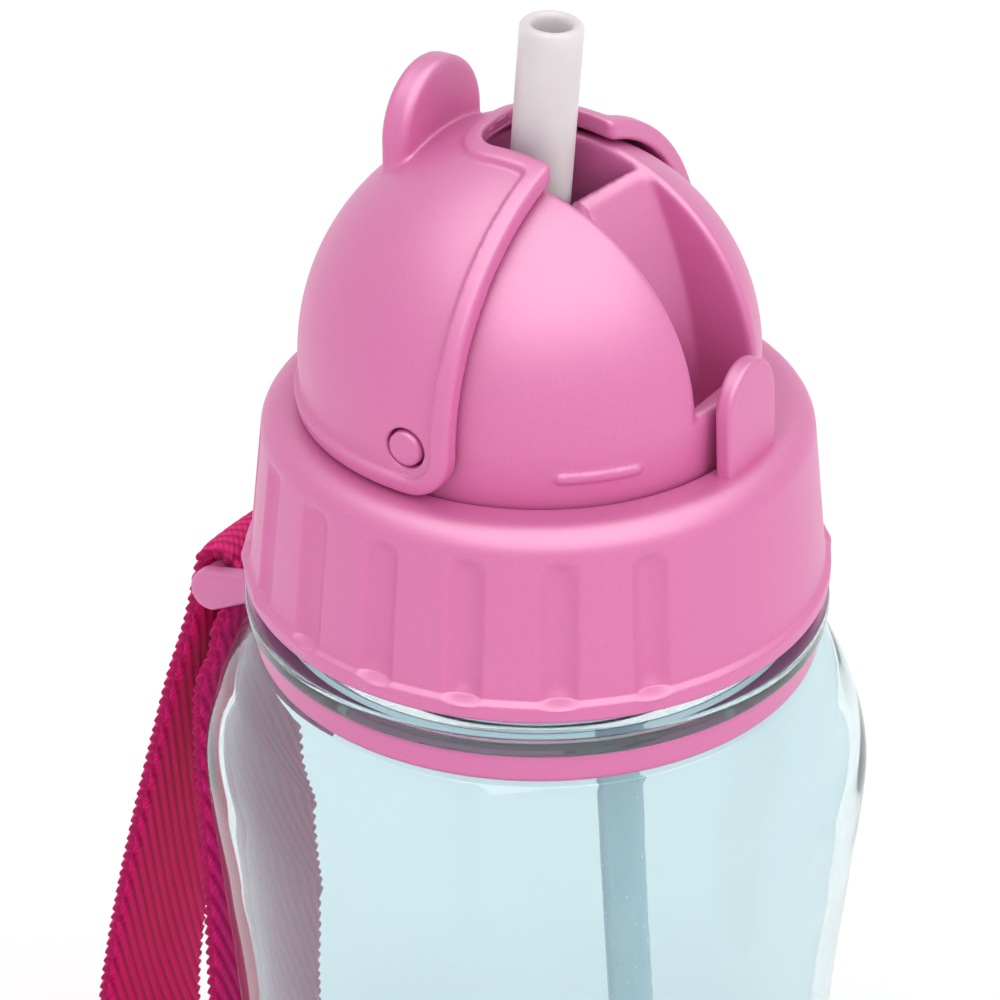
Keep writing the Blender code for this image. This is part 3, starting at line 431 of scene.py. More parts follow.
def siliconeRubber(name, look):
    material, tree, shader = newMaterial(name)
    cloud = ranged(tree, objectNoise(tree, rubber["cloudScale"], 3.0), 0.3, 0.7, 0.0, 1.0)
    tree.links.new(mixed(tree, cloud, (*look["colour"], 1), (*look["shade"], 1)), shader["Base Color"])
    smear = objectNoise(tree, rubber["smearScale"], 4.0)
    low, high = look["roughness"] - rubber["smoother"], look["roughness"] + rubber["rougher"]
    sheen = ranged(tree, smear, 0.3, 0.7, low, high)
    tree.links.new(sheen, shader["Roughness"])
    grain = objectNoise(tree, rubber["grainScale"], 3.0)
    tree.links.new(bumped(tree, grain, *rubber["grain"]), shader["Normal"])
    shader["Subsurface Weight"].default_value = look["glow"]
    shader["Subsurface Radius"].default_value = rubber["scatter"]
    shader["Subsurface Scale"].default_value = look["depth"]
    shader["Transmission Weight"].default_value = look["clear"]
    shader["IOR"].default_value = rubber["index"]
    return material


clearBody = clearPlastic()
milkySilicone = siliconeRubber("milkySilicone", {
    "colour": (0.70, 0.655, 0.665), "shade": (0.66, 0.61, 0.63), "roughness": 0.36,
    "glow": 0.55, "depth": 0.0035, "clear": 0.12})
gasketSilicone = siliconeRubber("gasketSilicone", {
    "colour": (0.78, 0.79, 0.81), "shade": (0.72, 0.74, 0.77), "roughness": 0.45,
    "glow": 0.4, "depth": 0.002, "clear": 0.1})
straightStraw = siliconeRubber("straightStraw", {
    "colour": (0.74, 0.87, 0.93), "shade": (0.68, 0.84, 0.91), "roughness": 0.22,
    "glow": 0.1, "depth": 0.002, "clear": 0.45})


def webbingMaterial():
    look = {"crest": (0.76, 0.004, 0.17), "paintedShadeValley": (0.42, 0.001, 0.07), "paintedYarnHighlight": (0.88, 0.05, 0.34),
            "faded": (0.60, 0.004, 0.13), "paintedHighlightShare": 0.45, "fadedShare": 0.25, "fadedScale": 60.0,
            "fuzz": 0.5, "bump": (0.8, 0.00018), "gloss": 0.12, "sheen": 0.03, "sheenRoughness": 0.45}
    material, tree, shader = newMaterial("magentaWebbing")
    pattern = addNode(tree, "ShaderNodeGroup", node_tree=twillWeave).outputs
    # the weave's ribs are real, but their darker valley colour is painted shade between the ribs
    rib = ranged(tree, pattern["Rib"], 0.08, 0.34, 0.0, 1.0)
    base = mixed(tree, rib, (*look["paintedShadeValley"], 1), (*look["crest"], 1))
    # painted highlight: a paler colour laid on the yarn tops of the rib crests
    yarn = maths(tree, "MULTIPLY", ranged(tree, pattern["Yarn"], 0.1, 0.45, 0.0, 1.0), rib)
    tone = mixed(tree, maths(tree, "MULTIPLY", yarn, look["paintedHighlightShare"]), base, (*look["paintedYarnHighlight"], 1))
    faded = ranged(tree, objectNoise(tree, look["fadedScale"], 3.0), 0.3, 0.75, 0.0, look["fadedShare"])
    tree.links.new(mixed(tree, faded, tone, (*look["faded"], 1)), shader["Base Color"])
    tree.links.new(ranged(tree, pattern["Fuzz"], 0.2, 0.8, 0.5, 0.8), shader["Roughness"])
    height = maths(tree, "ADD", pattern["Yarn"], maths(tree, "MULTIPLY", pattern["Fuzz"], look["fuzz"]))
    tree.links.new(bumped(tree, height, *look["bump"]), shader["Normal"])
    shader["Specular IOR Level"].default_value = look["gloss"]
    shader["Sheen Weight"].default_value = look["sheen"]
    shader["Sheen Roughness"].default_value = look["sheenRoughness"]
    shader["Sheen Tint"].default_value = (0.95, 0.45, 0.65, 1)
    return material


magentaWebbing = webbingMaterial()
print("materials ready")


# Bottle body: heights in mm above the base

bottle = {
    "widest": 36.05, "seatRadius": 30.2, "seatHeight": 114.2, "shoulder": 15.1, "bulge": (0.44, 0.64),
    "side": [(12.4, 0.9), (27.6, 2.15)], "waistShare": 0.44, "waistIn": 3.1, "footTop": 14.0, "footIn": 0.8,
    "footRound": 6.0, "wall": 2.0, "floor": 2.6,
    "throat": 27.5, "flange": 31.07, "flangeHeight": 118.0, "neckHeight": 120.2,
    "neck": 25.6, "neckWall": 1.6, "lip": 135.4, "threadProud": 1.2, "threadPitch": 4.5, "threadTurns": 1.25,
    "threadDrop": 2.4, "threadHalf": 1.0, "punt": (10.0, 27.0), "puntDepth": 1.2, "puntSlope": 1.8,
    "steps": 256,
}


def smoothCurve(stations, steps):
    # a monotone cubic through (height, radius) stations
    heights = [h for h, _ in stations]
    radii = [r for _, r in stations]
    spans = [b - a for a, b in zip(heights, heights[1:])]
    rises = [(b - a) / s for a, b, s in zip(radii, radii[1:], spans)]
    slopes = [rises[0]]
    for before, after in zip(rises, rises[1:]):
        slopes.append(0.0 if before * after <= 0 else 2 * before * after / (before + after))
    slopes.append(rises[-1])
    points = []
    for i in range(steps + 1):
        height = heights[0] + (heights[-1] - heights[0]) * i / steps
        k = max(j for j in range(len(spans)) if j == 0 or (height - heights[j]) * spans[j] >= 0)
        t = (height - heights[k]) / spans[k]
        radius = (2 * t**3 - 3 * t**2 + 1) * radii[k] + (t**3 - 2 * t**2 + t) * spans[k] * slopes[k]
        radius += (3 * t**2 - 2 * t**3) * radii[k + 1] + (t**3 - t**2) * spans[k] * slopes[k + 1]
        points.append((radius, height))
    return points


def threadRise(angles, height, top, pitch, turns, halfWidth):
    # how much of a helical ridge, 0 to 1, is at each angle and this height
    turn = (2 * np.pi - angles) % (2 * np.pi)
    rise = np.zeros_like(angles)
    for lap in range(math.ceil(turns)):
        wound = turn + 2 * np.pi * lap
        middle = top - pitch * wound / (2 * np.pi)
        ridge = np.clip((halfWidth - np.abs(height - middle)) / (halfWidth * 0.55), 0, 1)
        ends = np.clip(wound / 0.5, 0, 1) * np.clip((2 * np.pi * turns - wound) / 0.5, 0, 1)
        rise = np.maximum(rise, ridge * ridge * (3 - 2 * ridge) * ends)
    return rise


def bottleBody():
    b = bottle
    top, widest, foot = b["seatHeight"], b["seatHeight"] - b["shoulder"], b["widest"] - b["footIn"]
    down, out = b["bulge"]
    stations = [(top, b["seatRadius"]),
                (top - down * b["shoulder"], b["seatRadius"] + out * (b["widest"] - b["seatRadius"])),
                (widest, b["widest"])]
    stations += [(widest - drop, b["widest"] - inset) for drop, inset in b["side"]]
    stations += [(b["waistShare"] * top, b["widest"] - b["waistIn"]), (b["footTop"], foot),
                 (b["footRound"], foot)]
    outer = smoothCurve(stations, 110)
    inner = [(radius - b["wall"], height) for radius, height in outer]
    inPunt, outPunt = b["punt"]
    depth, slope = b["puntDepth"], b["puntSlope"]
    outside = filleted([(0, 0, 0), (inPunt, 0, 0.8), (inPunt + slope, depth, 0.8),
                        (outPunt - slope, depth, 0.8), (outPunt, 0, 0.8),
                        (foot, 0, b["footRound"]), (foot, b["footRound"] + 6.2, 0)], False, 10)[:-1]
    seat = filleted([(outer[3]) + (0,), (b["seatRadius"], top, 0.35), (b["throat"], top, 0.4),
                     (b["throat"], b["flangeHeight"], 0.4), (b["flange"], b["flangeHeight"], 0.7),
                     (b["flange"], b["neckHeight"], 0.7), (b["neck"], b["neckHeight"], 0.5),
                     (b["neck"], b["lip"], 0.5), (b["neck"] - b["neckWall"], b["lip"], 0.5),
                     (b["neck"] - b["neckWall"], b["neckHeight"], 0.8),
                     (b["throat"] - b["wall"], b["flangeHeight"], 0.8),
                     (b["throat"] - b["wall"], top - 0.4, 1.5), (inner[6]) + (0,)], False, 6)
    inside = filleted([(foot - b["wall"], b["footRound"] + 6.0, 0), (foot - b["wall"], b["floor"], 4.2),
                       (0, b["floor"], 0)], False, 10)
    outline = outside + outer[:3:-1] + seat + inner[7:] + inside[1:]
    outline = subdivided(outline, 1.6, False)

    def ridges(angles, radius, height):
        if abs(radius - b["neck"]) > 0.01 or not b["neckHeight"] + 1 < height < b["lip"] - 1:
            return 0.0
        top = b["lip"] - b["threadDrop"]
        rise = threadRise(angles, height, top, b["threadPitch"], b["threadTurns"], b["threadHalf"])
        return b["threadProud"] * rise

    neckLine = [p for p in outline if abs(p[0] - b["neck"]) < 0.01]
    first = outline.index(neckLine[0])
    finer = subdivided(neckLine, 0.25, False)
    outline = outline[:first] + finer + outline[first + len(neckLine):]
    points, faces = turnedMesh(outline, b["steps"], ridges, closed=False)
    return addPiece("bottleBody", points, faces, "bottle", clearBody, ["bottle_body"])


bottleBody()


# Strap ring with its lug

ringSizes = {"inner": 27.9, "outer": 30.1, "height": 3.2, "edge": 0.55, "armFrom": 10.6, "armTo": 13.0,
             "armNose": 2.35, "armRoot": 1.35, "noseSet": (-0.5, -0.7), "rootY": 27.2,
             "armEdge": 0.6, "bar": 1.3, "fillet": 1.9, "barFillet": 0.5, "shoulderGap": 0.4,
             "shoulderSlope": 0.62, "flangeReach": 1.3, "cell": 0.36}


def strapRing():
    s = ringSizes
    middle = joints["ring_swivel"]["pos_m"][2] / mm
    barY, barZ = barPoint.y / mm, barPoint.z / mm
    across = (s["armFrom"] + s["armTo"]) / 2

    def field(x, y, z):
        rho = np.hypot(x, y)
        wall = (s["outer"] - s["inner"]) / 2
        level = np.abs(z - middle) - s["height"] / 2
        band = roundBoth(np.abs(rho - s["inner"] - wall) - wall, level, s["edge"])
        rootY, rootZ = s["rootY"], middle
        run, drop = barY + s["noseSet"][0] - rootY, barZ + s["noseSet"][1] - rootZ
        share = np.clip(((y - rootY) * run + (z - rootZ) * drop) / (run**2 + drop**2), 0, 1)
        away = np.hypot(y - rootY - share * run, z - rootZ - share * drop)
        profile = away - (s["armRoot"] + (s["armNose"] - s["armRoot"]) * share)
        half = (s["armTo"] - s["armFrom"]) / 2
        arm = roundBoth(profile, np.abs(np.abs(x) - across) - half, s["armEdge"])
        arm = np.maximum(arm, s["inner"] + 0.25 - rho)
        bar = np.maximum(np.hypot(y - barY, z - barZ) - s["bar"], np.abs(x) - across)
        shape = softMin(band, arm, s["fillet"])
        # kept clear of the bottle's shoulder, of the flange and of the webbing's edges
        under, over = middle - s["height"] / 2, middle + s["height"] / 2
        shoulder = s["outer"] + s["shoulderGap"] + s["shoulderSlope"] * (under - z) - rho
        shoulder = shoulder * math.cos(math.atan(s["shoulderSlope"]))
        shape = np.maximum(shape, np.minimum(under - z, shoulder))
        shape = np.maximum(shape, np.minimum(z - over, s["outer"] + s["flangeReach"] - rho))
        shape = np.maximum(shape, np.minimum(s["armFrom"] - 0.1 - np.abs(x), rho - s["outer"]))
        return softMin(shape, bar, s["barFillet"])

    low = (-s["outer"], -s["outer"], barZ - s["armNose"] + s["noseSet"][1])
    high = (s["outer"], barY + s["armNose"], middle + s["height"] / 2)
    points, faces = skinField(field, low, high, s["cell"])
    return addPiece("strapRing", placed(points), faces, "ring", ringPink, ["strap_ring"])


ringPiece = strapRing()


# Lid collar: a turned skirt with flutes on both sides, scalloped where they meet the rim bead

collar = {"foot": 30.35, "bottom": 122.0, "ceiling": 140.1, "top": 142.1, "taper": 1.95, "round": 3.0,
          "opening": 22.9, "bore": 27.1, "rimHeight": 2.4, "rimProud": 0.65, "flutes": 7, "pitch": 18.0,
          "fluteRadius": 2.1, "fluteDepth": 0.95, "fluteDrop": 2.3, "fluteFade": 2.2, "fluteEdge": 0.07,
          "footDrop": 0.55, "footFade": 0.7, "scallop": 0.45, "scallopWidth": 1.7, "scallopHeight": 0.8,
          "threadProud": 1.1, "threadHalf": 0.9, "steps": 900}


def fluteAngles():
    half = (collar["flutes"] - 1) / 2
    fan = [math.radians((k - half) * collar["pitch"]) for k in range(collar["flutes"])]
    return [side + turn for side in (0.0, math.pi) for turn in fan]


def collarShaping(angles, radius, height):
    c = collar
    rimTop = c["bottom"] + c["rimHeight"]
    if radius < c["bore"] + 0.2:
        inBore = abs(radius - c["bore"]) < 0.02 and c["bottom"] + 2 < height < c["ceiling"] - 1.5
        top = bottle["lip"] - bottle["threadDrop"] - bottle["threadPitch"] / 2
        rise = threadRise(angles, height, top, bottle["threadPitch"], bottle["threadTurns"], c["threadHalf"])
        return -c["threadProud"] * rise if inBore else 0.0
    change = np.zeros_like(angles)
    topFade = np.clip((c["top"] - c["fluteDrop"] - height) / c["fluteFade"], 0, 1)
    topFade = topFade * topFade * (3 - 2 * topFade)
    footFade = np.clip((height - rimTop + c["footDrop"]) / c["footFade"], 0, 1)
    for flute in fluteAngles():
        away = (angles - flute + np.pi) % (2 * np.pi) - np.pi
        arcLength = away * radius
        depth = c["fluteDepth"] - arcLength**2 / (2 * c["fluteRadius"])
        change = change - softMax(depth, np.zeros_like(depth), c["fluteEdge"]) * topFade * footFade
        atRim = math.exp(-((height - rimTop) / c["scallopHeight"]) ** 2)
        change = change + c["scallop"] * np.exp(-(arcLength / c["scallopWidth"]) ** 2) * atRim
    return change


def lidCollar():
    c = collar
    rimTop = c["bottom"] + c["rimHeight"]
    shoulder = c["foot"] - c["taper"]
    outline = filleted([
        (c["opening"], c["top"], 0.45), (shoulder, c["top"], c["round"]), (c["foot"], rimTop + 0.1, 0.35),
        (c["foot"] + c["rimProud"], rimTop - 0.4, 0.45), (c["foot"] + c["rimProud"], c["bottom"], 0.75),
        (c["bore"], c["bottom"], 0.5), (c["bore"], c["ceiling"], 0.5), (c["opening"], c["ceiling"], 0.4),
    ], True, 8)
    outline = subdivided(outline, 0.42)
    points, faces = turnedMesh(outline, c["steps"], collarShaping)
    return addPiece("lidCollar", points, faces, "lid", lidPink, ["lid_collar"])


lidCollar()


# Tongue that stands at the front of the collar

tongue = {"front": -25.35, "back": -23.45, "width": 9.4, "top": 5.5, "foot": -6.6, "lean": 0.05,
          "leanFrom": -5.4, "curve": 110.0, "edge": 0.4, "cell": 0.22}


def lidTongue():
    t = tongue
    half = t["width"] / 2

    def field(x, y, z):
        lean = y - t["lean"] * (z - t["leanFrom"])
        slab = np.abs(lean - (t["front"] + t["back"]) / 2) - (t["back"] - t["front"]) / 2
        slab = slab + x * x / (2 * t["curve"])
        arch = np.where(z > t["top"] - half, np.hypot(x, z - t["top"] + half), np.abs(x)) - half
        return np.maximum(roundBoth(slab, arch, t["edge"]), t["foot"] - z)

    low, high = (-half - 1, t["front"] - 1, t["foot"]), (half + 1, t["back"] + 2, t["top"])
    points, faces = skinField(field, low, high, t["cell"])
    return addPiece("lidTongue", placed(points, pivot), faces, "lid", lidPink)


lidTongue()


# Dome with its straw channel, guide, pivot bosses and stop ribs: heights from the pivot, in mm

dome = {"ball": 22.8, "foot": 22.5, "low": -12.5, "flange": 26.6, "flangeLow": -9.5, "flangeHigh": -7.7,
        "sideHeight": 5.4, "channel": 11.4, "channelFloor": -5.0, "frontWall": 20.376, "frontWallTop": 1.2,
        "step": -9.4, "pocketFloor": 4.0, "pocketBack": 6.0, "lipMid": (-5.0, 17.7), "lipSide": (-8.8, 20.25),
        "footMid": -12.6, "footSide": -15.6, "footHeight": -5.5, "guide": 1.3, "rim": 1.05,
        "boss": 1.85, "bossRoot": 20.0, "bossTip": 24.94, "bossCrown": 0.07,
        "bossEdge": 0.3, "ribMiddle": 47.0, "ribHalf": 11.0, "ribDrop": 2.3, "ribHeight": 1.0, "ribSink": 1.5,
        "ribProud": 0.42, "ribEdge": 0.2, "ribRound": 0.5, "flangeEdge": 0.3, "flangeFoot": 0.3,
        "frontSlope": 0.8, "lipSoft": 0.6, "topSoft": 0.9, "floorSoft": 0.8, "sideSoft": 0.5, "wallSoft": 0.7,
        "joinSoft": 0.25, "slotJoin": 0.3, "guideInset": 0.35, "guideOver": 0.6, "cell": 0.36}


def domeInsert():
    d = dome

    def field(x, y, z):
        rho = np.hypot(x, y)
        ball = np.sqrt(rho * rho + z * z)
        skirt = rho - d["ball"] - (d["ball"] - d["foot"]) * np.clip(z / d["sideHeight"], -1, 0)
        outer = np.where(z > 0, ball - d["ball"], skirt)
        outer = np.maximum(outer, d["low"] - z)
        level = np.abs(z - (d["flangeLow"] + d["flangeHigh"]) / 2) - (d["flangeHigh"] - d["flangeLow"]) / 2
        flange = roundBoth(rho - d["flange"], level, d["flangeEdge"])
        half = d["channel"] / 2
        side = np.clip(np.abs(x) / half, 0, 1)
        lipY = d["lipMid"][0] + (d["lipSide"][0] - d["lipMid"][0]) * side
        lipZ = d["lipMid"][1] + (d["lipSide"][1] - d["lipMid"][1]) * side
        footY = d["footMid"] + (d["footSide"] - d["footMid"]) * side
        climb = np.clip((z - d["footHeight"]) / (lipZ - d["footHeight"]), 0, 1.1)
        front = (footY + (lipY - footY) * climb**2 - y) * d["frontSlope"]
        back = y - (lipY + d["guide"])
        guide = softMax(softMax(front, back, d["lipSoft"]), z - lipZ, d["topSoft"])
        behindWall = softMax(d["channelFloor"] - z, -(y + d["frontWall"]), d["floorSoft"])
        ahead = softMin(behindWall, d["frontWallTop"] - z, d["wallSoft"])
        ahead = np.maximum(ahead, y - d["step"])
        pocket = softMax(d["pocketFloor"] - z, d["step"] - 0.1 - y, d["sideSoft"])
        slot = softMin(ahead, pocket, d["slotJoin"])
        slot = softMax(slot, y - d["pocketBack"], d["floorSoft"])
        slot = softMax(slot, np.abs(x) - half, d["sideSoft"])
        shape = softMax(outer, -slot, d["rim"])
        guide = softMax(guide, np.abs(x) - half - d["guideOver"], 0.1)
        guide = softMax(guide, ball - d["ball"] + d["guideInset"], d["topSoft"])
        shape = softMin(shape, guide, d["joinSoft"])
        reach = np.degrees(np.arctan2(-y, np.abs(x)))
        length = (np.abs(reach - d["ribMiddle"]) - d["ribHalf"]) * np.radians(1) * d["ball"]
        tall = np.abs(z + d["ribDrop"]) - d["ribHeight"] / 2
        rib = roundBoth(length, tall, d["ribRound"])
        rib = roundBoth(rib, ball - d["ball"] - d["ribProud"], d["ribEdge"])
        rib = np.maximum(rib, d["ball"] - d["ribSink"] - rho)
        shape = softMin(shape, rib, d["joinSoft"])
        button = np.hypot(y, z)
        crown = np.abs(x) - d["bossTip"] + d["bossCrown"] * button**2
        boss = roundBoth(button - d["boss"], crown, d["bossEdge"])
        boss = np.maximum(boss, d["bossRoot"] - np.abs(x))
        return np.minimum(softMin(shape, flange, d["flangeFoot"]), boss)

    low = (-d["flange"], -d["flange"], d["low"])
    high = (d["flange"], d["flange"], d["ball"])
    points, faces = skinField(field, low, high, d["cell"])
    return addPiece("domeInsert", placed(points, pivot), faces, "lid", lidPink, ["dome_insert"])


domeInsert()


# Flip cover: a quarter ball with a soft bead round its edges and notch, and a thumb tab

cover = {"inner": 23.4, "outer": 24.64, "edge": 5.0, "bead": 1.9, "proud": 0.7, "notch": 11.3,
         "notchDepth": 4.6, "notchRound": 3.2, "tabWidth": 14.2, "tabFront": 11.2, "tabBack": 14.5,
         "tabTop": 29.24, "tabEdge": 0.95, "tabFoot": 0.5, "hole": 2.15, "cornerSoft": 0.9, "beadSoft": 0.45,
         "beadFoot": 0.3, "cell": 0.32}


def flipCover():
    c = cover

    def field(x, y, z):
        ball = np.sqrt(x * x + y * y + z * z)
        sideEdge = np.hypot(np.maximum(-y, 0), np.maximum(-z, 0))
        sideEdge = sideEdge + np.minimum(np.maximum(-y, -z), 0) - c["edge"]
        across = np.abs(x) - c["notch"] / 2 + c["notchRound"]
        deep = y - c["notchDepth"] + c["notchRound"]
        notch = np.hypot(np.maximum(across, 0), np.maximum(deep, 0))
        notch = notch + np.minimum(np.maximum(across, deep), 0) - c["notchRound"]
        edges = softMax(sideEdge, -notch, c["cornerSoft"])
        shell = np.abs(ball - (c["inner"] + c["outer"]) / 2) - (c["outer"] - c["inner"]) / 2
        bead = np.maximum(ball - c["outer"] - c["proud"], c["outer"] - 0.5 - ball)
        bead = softMax(bead, -(edges + c["bead"]), c["beadSoft"])
        shell = softMin(shell, bead, c["beadFoot"])
        shell = softMax(shell, edges, c["beadSoft"])
        half = c["tabWidth"] / 2
        centre = c["tabTop"] - half
        arch = np.where(z > centre, np.hypot(x, z - centre), np.abs(x)) - half
        middle = (c["tabFront"] + c["tabBack"]) / 2
        slab = np.abs(y - middle) - (c["tabBack"] - c["tabFront"]) / 2
        tab = roundBoth(arch, slab, c["tabEdge"])
        tab = np.maximum(tab, c["inner"] + 0.5 - ball)
        shape = softMin(shell, tab, c["tabFoot"])
        return softMax(shape, c["hole"] - np.hypot(y, z), 0.3)

    wide = c["outer"] + c["proud"]
    low, high = (-wide, -c["edge"], -c["edge"]), (wide, wide, c["tabTop"])
    points, faces = skinField(field, low, high, c["cell"])
    points = placed(points, pivot)
    return addPiece("flipCover", points, faces, "cover", coverPink, ["flip_cover"])


flipCover()


# Straw and the silicone under the dome

straw = {"outer": 3.2, "bore": 2.0, "tip": 36.1, "tipY": -1.3, "lean": 0.0725, "foot": 4.3, "collet": 4.3,
         "colletHeight": 2.0, "foldLow": 10.5, "foldHigh": 20.5}


def strawAxis(height):
    y = straw["tipY"] + (straw["tip"] - height) * straw["lean"]
    return Vector((0, y * mm, pivot[2] + height * mm))


def softStraw():
    s = straw
    wall = (s["outer"] - s["bore"]) / 2
    count = 90
    reach = [s["foot"] + (s["tip"] - wall - s["foot"]) * k / count for k in range(count + 1)]
    points, faces = tubeMesh([strawAxis(h) for h in reach], s["outer"], s["bore"], 56)
    piece = addPiece("softStraw", points, faces, None, milkySilicone, ["straw_tip"])
    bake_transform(piece)
    return piece


softStraw()

plug = {"top": -7.9, "height": 3.6, "nozzleY": -7.6, "endRadius": 4.5, "nozzle": 4.0, "nozzleHeight": 8.0,
        "socket": 2.8, "lean": 0.074, "spoutTop": 4.8, "link": 1.3, "linkHalf": 4.5, "cell": 0.4}


def lowerAxis(height):
    # the straight straw's centre, height in mm from the pivot
    middle = plug["top"] - plug["height"] / 2
    y = plug["nozzleY"] - (middle - height) * plug["lean"]
    return Vector((0, y * mm, pivot[2] + height * mm))


def strawPlug():
    p, s = plug, straw
    back = s["tipY"] + (s["tip"] - p["top"]) * s["lean"]
    middle = p["top"] - p["height"] / 2

    def field(x, y, z):
        along = np.clip((y - p["nozzleY"]) / (back - p["nozzleY"]), 0, 1)
        plan = np.hypot(x, y - p["nozzleY"] - along * (back - p["nozzleY"])) - p["endRadius"]
        slab = roundBoth(plan, np.abs(z - middle) - p["height"] / 2, 0.6)
        axisY = s["tipY"] + (s["tip"] - z) * s["lean"]
        upright = np.hypot(x, y - axisY)
        spout = np.maximum(np.maximum(upright - s["outer"] + 0.25, z - p["spoutTop"]), middle - z)
        colletMid = s["foot"] + s["colletHeight"] / 2
        ring = roundBoth(upright - s["collet"], np.abs(z - colletMid) - s["colletHeight"] / 2, 0.5)
        slant = np.hypot(x, y - p["nozzleY"] - (z - middle) * p["lean"])
        end = middle - p["height"] / 2 - p["nozzleHeight"]
        nozzle = roundBoth(slant - p["nozzle"], np.abs(z - (middle + end) / 2) - (middle - end) / 2, 0.5)
        solid = softMin(softMin(slab, nozzle, 0.8), np.minimum(spout, ring), 0.4)
        solid = softMax(solid, s["bore"] - upright + np.maximum(middle - z, 0) * 4, 0.2)
        socket = np.maximum(slant - p["socket"], z - middle)
        link = np.abs(y - (back + p["nozzleY"]) / 2) - p["linkHalf"]
        link = np.maximum(np.hypot(x, z - middle) - p["link"], link)
        return np.maximum(np.maximum(solid, -socket), -link)

    low = (-p["endRadius"], -14.0, middle - p["height"] / 2 - p["nozzleHeight"])
    points, faces = skinField(field, low, (p["endRadius"], 8.0, 6.6), p["cell"])
    points = placed(points, pivot)
    return addPiece("strawPlug", points, faces, "lid", gasketSilicone, ["straw_root"])


strawPlug()

straightTube = {"outer": 2.5, "bore": 1.8, "grip": 6.0, "lift": 7.6}


def lowerStraw():
    t = straightTube
    top = plug["top"] - plug["height"] - plug["nozzleHeight"] + t["grip"]
    foot = t["lift"] - pivot[2] / mm
    wall = (t["outer"] - t["bore"]) / 2
    path = [lowerAxis(top - wall + (foot - top + 2 * wall) * k / 60) for k in range(61)]
    points, faces = tubeMesh(path, t["outer"], t["bore"], 40)
    return addPiece("lowerStraw", points, faces, "lid", straightStraw, ["lower_straw"])


lowerStraw()

gasket = {"inner": 22.9, "outer": 26.3, "low": 135.7, "high": 137.7}


def lidGasket():
    g = gasket
    ends = [(g["inner"], g["low"]), (g["outer"], g["low"]), (g["outer"], g["high"]), (g["inner"], g["high"])]
    outline = subdivided(filleted([(a, b, 0.5) for a, b in ends], True, 5), 0.8)
    points, faces = turnedMesh(outline, 180)
    return addPiece("lidGasket", points, faces, "seal", gasketSilicone, ["lid_gasket"])


lidGasket()

vent = {"y": -17.376, "stem": 1.3, "disc": 2.6, "discHeight": 1.0, "bill": 3.4, "top": -5.3, "seat": -7.9}


def ventValve():
    v = vent
    low = v["seat"] - v["discHeight"]
    corners = [(0, low - v["bill"], 0), (0.5, low - v["bill"], 0.2), (v["stem"], low, 0.3)]
    corners += [(v["disc"], low, 0.3), (v["disc"], v["seat"], 0.3), (v["stem"], v["seat"], 0.15)]
    corners += [(v["stem"], v["top"], 0.35), (0, v["top"], 0)]
    outline = subdivided(filleted(corners, False, 4), 0.5, False)
    outline = [(r, z + pivot[2] / mm) for r, z in outline]
    points, faces = turnedMesh(outline, 48, None, False, (0.0, v["y"]))
    return addPiece("ventValve", points, faces, "lid", gasketSilicone, ["vent_valve"])


ventValve()


# Carry strap: one strip of twill webbing in a loop over the lug's bar

webbing = {"width": 20.0, "thick": 1.6, "bend": 2.55, "bodyLeg": 37.15, "across": 84, "step": 0.36,
           "ribs": 14, "ribHeight": 0.17, "crown": 0.12, "selvage": 0.5, "selvagePitch": 1.5,
           "selvageFrom": 0.87, "selvageThin": 0.45, "selvageBump": 0.26}


def webbingRoute():
    # the centre line in mm as (y, z): over the bar, down the outside, round and up the inside
    barY, barZ, bend, leg = barPoint.y / mm, barPoint.z / mm, webbing["bend"], webbing["bodyLeg"]
    turns = [math.radians(170 - 20 * k) for k in range(9)]
    route = [(barY + bend * math.cos(a), barZ + bend * math.sin(a)) for a in turns]
    outer = [(2.1, 8.0), (5.2, 17.0), (8.9, 29.5), (12.4, 42.0), (15.7, 55.0), (18.5, 68.0)]
    outer += [(20.1, 80.0), (19.9, 91.0), (17.6, 99.5)]
    inner = [(12.8, 103.6), (8.0, 100.0), (4.6, 91.0), (2.8, 78.0), (2.0, 64.0), (1.8, 50.0)]
    inner += [(1.9, 38.0), (2.1, 26.0), (1.6, 17.0), (-0.6, 11.5), (-1.2, 8.2), (-2.65, 5.0)]
    route += [(barY + bend + y, barZ - z) for y, z in outer]
    return route + [(leg + y, barZ - z) for y, z in inner]


def smoothLoop(route, step):
    # a closed Catmull-Rom curve, cut at equal steps
    count = len(route)
    dense = []
    for i in range(count):
        p0, p1, p2, p3 = (Vector(route[(i + k) % count]) for k in (-1, 0, 1, 2))
        for t in [k / 24 for k in range(24)]:
            point = p1 * 2 + (p2 - p0) * t + (p0 * 2 - p1 * 5 + p2 * 4 - p3) * t**2
            dense.append((point + (p1 * 3 - p0 - p2 * 3 + p3) * t**3) / 2)
    dense.append(dense[0])
    lengths = np.cumsum([0] + [(b - a).length for a, b in zip(dense, dense[1:])])
    pieces = int(lengths[-1] / step)
    wanted = np.linspace(0, lengths[-1], pieces + 1)[:-1]
    y = np.interp(wanted, lengths, [p.x for p in dense])
    z = np.interp(wanted, lengths, [p.y for p in dense])
    return np.stack([y, z], axis=1), lengths[-1]


